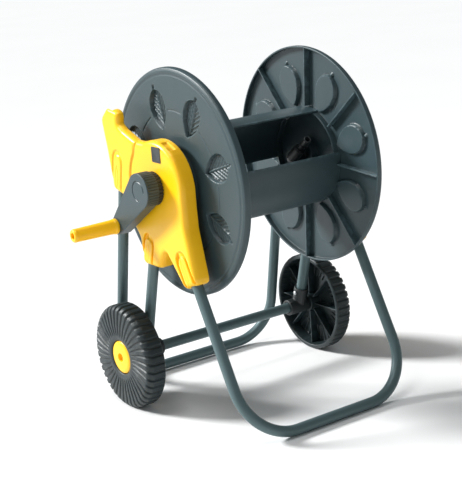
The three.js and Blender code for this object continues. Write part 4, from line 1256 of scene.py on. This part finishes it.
def wheel_shift(radius, angle, x):
    """Cuts the tread and sidewall grooves, which swing slightly as they near the hub."""
    inner = reach("wheel_inlet", 0, 0)
    outer = reach("wheel_inlet", 0, 1)
    rim = round_radius("wheel_inlet")
    ribs = settings("wheels").ribs
    swing = 0.16 * np.clip((rim - radius) / rim, 0, 1) ** 0.8
    phase = np.mod((angle + swing) * ribs / (2 * np.pi), 1.0)
    groove = 1 - ramp(np.abs(phase - 0.5), 0.09, 0.24)
    sidewall = (x > outer - 16) & (radius > 33)
    fade = ramp(radius, 38, 50)
    tread = (radius > rim - 14) & (x > inner + 2)
    bevelled = ramp(radius, rim - 13, rim - 2)
    across = ramp(x, inner + 2, inner + 7)
    drop = np.where(tread, groove * in_mm("wheels", "rib_depth") * bevelled * across, 0.0)
    sunk = np.where(sidewall, groove * in_mm("wheels", "sidewall_depth") * fade, 0.0)
    return radius - drop, x - sunk


def inner_spokes():
    """Thin ribs across the hollow inner side of a wheel."""
    inner = reach("wheel_inlet", 0, 0) + 1.6
    top = reach("wheel_inlet", 0, 1) - 13
    section = soft_corners([[-1.1, top], [-1.1, inner + 6], [1.1, inner + 6], [1.1, top]], 0.7, 3)
    ends = (in_mm("wheels", "hub_radius") - 1, round_radius("wheel_inlet") - 9.5)
    return radial_ribs("spoke", section, ends, settings("wheels").spokes, (0, *WHEEL_AXLE.yz))


class CART_OT_wheels(bpy.types.Operator):
    """Moulds the two ribbed wheels and their hub caps."""

    bl_idname = "cart.wheels"
    bl_label = "Wheels"

    def execute(self, context):
        centre = (0, WHEEL_AXLE.y, WHEEL_AXLE.z)
        steps = settings("wheels").ribs * 16
        tyre = revolved("tyre", wheel_profile(), steps, centre, wheel_shift)
        fit_pair("road_wheel", joined("wheel", [tyre, *inner_spokes()]), "wheel_plastic", "wheel", 55)
        self.caps(centre)
        return {"FINISHED"}

    @staticmethod
    def caps(centre):
        back, face = ends_of("hub_cap_inlet")
        rim = round_radius("hub_cap_inlet")
        wall = 2.4
        floor = face - in_mm("wheels", "cap_recess")
        recess = in_mm("wheels", "recess_radius")
        corners = [
            [0, floor], [recess - 0.6, floor], [recess, face - 0.1], [14, face], [rim - 6, face - 0.7],
            [rim - 1.2, face - 2.2], [rim, face - 4.2], [rim, back], [rim - wall, back],
            [rim - wall, face - wall - 3.4], [rim - 7, face - wall - 1.6], [recess + 3, face - wall - 0.8],
            [recess + 1.4, floor - 1.0], [0, floor - 1.0],
        ]
        profile = evened(soft_corners(corners, 0.9, 4, closed=False), 2.5, closed=False)
        cap = revolved("cap", profile, 96, centre, closed=False)
        fit_pair("hub_cover", cap, "yellow_plastic", "hub_cap", 40)


class CART_OT_axle(bpy.types.Operator):
    """Makes the axle rod, its push nuts and the three-way fittings."""

    bl_idname = "cart.axle"
    bl_label = "Axle"

    def execute(self, context):
        centre = (0, WHEEL_AXLE.y, WHEEL_AXLE.z)
        low, high = ends_of("axle_rod")
        radius = in_mm("fittings", "rod_radius")
        rod = [[0, low], [radius, low], [radius, high], [0, high]]
        rod = soft_corners(rod, 1.0, 3, closed=False)
        fit_piece("wheel_axle", revolved("rod", rod, 48, centre, closed=False), "zinc_steel", "axle_rod")
        low, high = ends_of("push_nut_inlet")
        bore = radius + 0.1
        rim = in_mm("fittings", "nut_radius")
        nut = soft_corners([[bore, low], [rim, low], [rim, high], [bore, high]], 0.5, 3)
        fit_pair("cap_nut", revolved("nut", nut, 48, centre), "zinc_steel", "push_nut")
        fitting = moulded("fitting", node_mesh("axle_fitting_inlet"), 0.8, 6)
        fit_pair("axle_bracket", fitting, "black_plastic", "axle_fitting", 75)
        return {"FINISHED"}


# ---------------------------------------------------------------- screws and pins


def screw_mesh(node, kind="screw", flip=False):
    """A pan-head screw or pin along X that fills a node's length, with a cross recess in its head."""
    head_radius = in_mm("fittings", kind + "_head")
    shank_radius = in_mm("fittings", kind + "_shank")
    head = in_mm("fittings", kind + "_rise")
    low, high = (from_axis(corner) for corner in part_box(node))
    centre = (0, (low.y + high.y) / 2, (low.z + high.z) / 2)
    start, end = (high.x, low.x) if flip else (low.x, high.x)
    step = -1 if flip else 1
    corners = [
        [0, start + 0.05 * step], [head_radius * 0.6, start + 0.25 * step],
        [head_radius, start + 1.1 * step], [head_radius, start + head * step],
        [shank_radius, start + head * step], [shank_radius, end - 1.0 * step],
        [shank_radius * 0.5, end], [0, end],
    ]
    profile = evened(soft_corners(corners, 0.35, 3, closed=False), 0.35, closed=False)

    def recess(radius, angle, x):
        across = radius * np.minimum(np.abs(np.cos(angle)), np.abs(np.sin(angle)))
        top = np.abs(x - start) < 1.2
        cross = (1 - ramp(across, 0.35, 0.6)) * (1 - ramp(radius, 2.0, 2.5))
        return radius, x + np.where(top, cross * 0.8 * step, 0.0)

    return revolved(node, profile, 64, centre, recess, closed=False)


class CART_OT_screws(bpy.types.Operator):
    """Makes the tube, fitting and inlet screws and the handle pins."""

    bl_idname = "cart.screws"
    bl_label = "Screws and pins"

    def execute(self, context):
        for kind in ("foot_screw", "leg_screw", "fitting_screw"):
            screw = screw_mesh(kind + "_inlet")
            fit_pair(kind.replace("screw", "bolt"), screw, "zinc_steel", kind)
        for node in ("inlet_screw_front", "inlet_screw_rear"):
            screw = screw_mesh(node, flip=True)
            fit_piece(node.replace("screw", "bolt"), screw, "zinc_steel", node)
        pin = screw_mesh("handle_pin_inlet", "pin")
        fit_pair("pivot_pin", pin, "zinc_steel", "handle_pin")
        for row in ("upper", "lower"):
            for side in ("inlet", "crank"):
                dress(f"drum_screw_{row}_{side}", "zinc_steel")
        dress("hub_screw", "zinc_steel")
        return {"FINISHED"}


# ---------------------------------------------------------------- stage

CAMERA_PLACE = Vector((-1.331853, -1.900000, 0.504857))  # metres from the reel axis
CAMERA_AZIMUTH = -34.13499274
CAMERA_ELEVATION = 15.26585113
CAMERA_ROLL = -4.17076066
CAMERA_LENS = 100.249
CAMERA_SENSOR = 36.0


def area_light(name, place, size, power):
    """A soft square light that points at the middle of the cart."""
    data = bpy.data.lights.new(name, "AREA")
    data.shape = "SQUARE"
    data.size = size
    data.energy = power
    light = bpy.data.objects.new(name, data)
    light.location = Vector(place)
    target = Vector((0.0, 0.0, 0.32))
    light.rotation_euler = (target - light.location).to_track_quat("-Z", "Y").to_euler()
    bpy.context.scene.collection.objects.link(light)


def camera_turn():
    """Rotation of the camera from its azimuth, elevation and roll."""
    azimuth, elevation, roll = map(math.radians, (CAMERA_AZIMUTH, CAMERA_ELEVATION, CAMERA_ROLL))
    back = Vector((math.sin(azimuth) * math.cos(elevation), -math.cos(azimuth) * math.cos(elevation),
                   math.sin(elevation)))
    right = Vector((math.cos(azimuth), math.sin(azimuth), 0.0))
    up = back.cross(right)
    rolled_right = math.cos(roll) * right + math.sin(roll) * up
    rolled_up = -math.sin(roll) * right + math.cos(roll) * up
    return Matrix((rolled_right, rolled_up, back)).transposed().to_4x4()


class CART_OT_stage(bpy.types.Operator):
    """Sets up the floor, the studio lights and the camera."""

    bl_idname = "cart.stage"
    bl_label = "Stage"

    def execute(self, context):
        self.floor()
        self.lights(context.scene)
        self.camera(context.scene)
        return {"FINISHED"}

    @staticmethod
    def floor():
        angles = np.radians(np.arange(0, 360, 5))
        rings = [np.column_stack([size * np.cos(angles), size * np.sin(angles), np.zeros(len(angles))])
                 for size in (0.5, 3.0, 60.0)]
        faces = grid_faces(len(rings), len(angles), False)
        faces.append(tuple(range(len(angles))))
        floor = link_object("floor", mesh_from("floor", np.concatenate(rings), faces))
        material = bpy.data.materials.new("pale_floor")
        material.use_nodes = True
        tree = material.node_tree
        shader = tree.nodes["Principled BSDF"]
        rgb = tuple(settings("colours").floor)
        drift = effect(tree, "colour_drift", Colour=toned(rgb, 1.0), Second=toned(rgb, 0.97), Scale=2.0)
        tree.links.new(drift.outputs["Colour"], shader.inputs["Base Color"])
        shader.inputs["Roughness"].default_value = 0.7
        floor.data.materials.append(material)

    @staticmethod
    def lights(scene):
        world = bpy.data.worlds.new("studio")
        world.use_nodes = True
        background = world.node_tree.nodes["Background"]
        background.inputs["Color"].default_value = (0.94, 0.98, 1.0, 1.0)
        background.inputs["Strength"].default_value = 0.24
        scene.world = world
        data = bpy.data.lights.new("key", "SUN")
        data.energy = 5.4
        data.angle = math.radians(14)
        key = bpy.data.objects.new("key", data)
        key.rotation_euler = Vector((0.85, -0.95, -0.75)).to_track_quat("-Z", "Y").to_euler()
        scene.collection.objects.link(key)
        area_light("top", (-0.5, 0.1, 2.2), 0.8, 14.0)
        area_light("front", (-2.4, -1.3, 1.3), 1.0, 5.0)

    @staticmethod
    def camera(scene):
        data = bpy.data.cameras.new("camera")
        data.lens = CAMERA_LENS
        data.sensor_width = CAMERA_SENSOR
        data.clip_end = 200.0
        camera = bpy.data.objects.new("camera", data)
        camera.matrix_world = Matrix.Translation(REEL_AXIS + CAMERA_PLACE) @ camera_turn()
        scene.collection.objects.link(camera)
        scene.camera = camera
        scene.view_settings.view_transform = "Standard"


# ---------------------------------------------------------------- panel and run


class CART_PT_builder(bpy.types.Panel):
    """Lists the sizes, the colours and the steps that build the cart."""

    bl_idname = "CART_PT_builder"
    bl_label = "Reel cart"
    bl_space_type = "VIEW_3D"
    bl_region_type = "UI"
    bl_category = "Reel cart"

    def draw(self, context):
        for name in GROUPS:
            box = self.layout.box()
            box.label(text=name.capitalize())
            group = getattr(context.scene, "cart_" + name)
            for key in group.bl_rna.properties.keys():
                if key not in ("rna_type", "name"):
                    box.prop(group, key)
        for step in STEPS:
            self.layout.operator(step.bl_idname)


GROUPS = {
    "tubes": CART_PG_tubes,
    "reel": CART_PG_reel,
    "wheels": CART_PG_wheels,
    "panels": CART_PG_panels,
    "crank": CART_PG_crank,
    "fittings": CART_PG_fittings,
    "colours": CART_PG_colours,
}
STEPS = (
    CART_OT_stage,
    CART_OT_tubes,
    CART_OT_panels,
    CART_OT_badge,
    CART_OT_flanges,
    CART_OT_drum,
    CART_OT_crank,
    CART_OT_grip,
    CART_OT_water,
    CART_OT_wheels,
    CART_OT_axle,
    CART_OT_screws,
)


def register():
    for kind in (*GROUPS.values(), *STEPS, CART_PT_builder):
        bpy.utils.register_class(kind)
    for name, kind in GROUPS.items():
        setattr(bpy.types.Scene, "cart_" + name, PointerProperty(type=kind))


def unregister():
    for name in GROUPS:
        delattr(bpy.types.Scene, "cart_" + name)
    for kind in (CART_PT_builder, *reversed(STEPS), *GROUPS.values()):
        bpy.utils.unregister_class(kind)


def main():
    register()
    for step in STEPS:
        module, name = step.bl_idname.split(".")
        getattr(getattr(bpy.ops, module), name)()


if __name__ == "__main__":
    main()
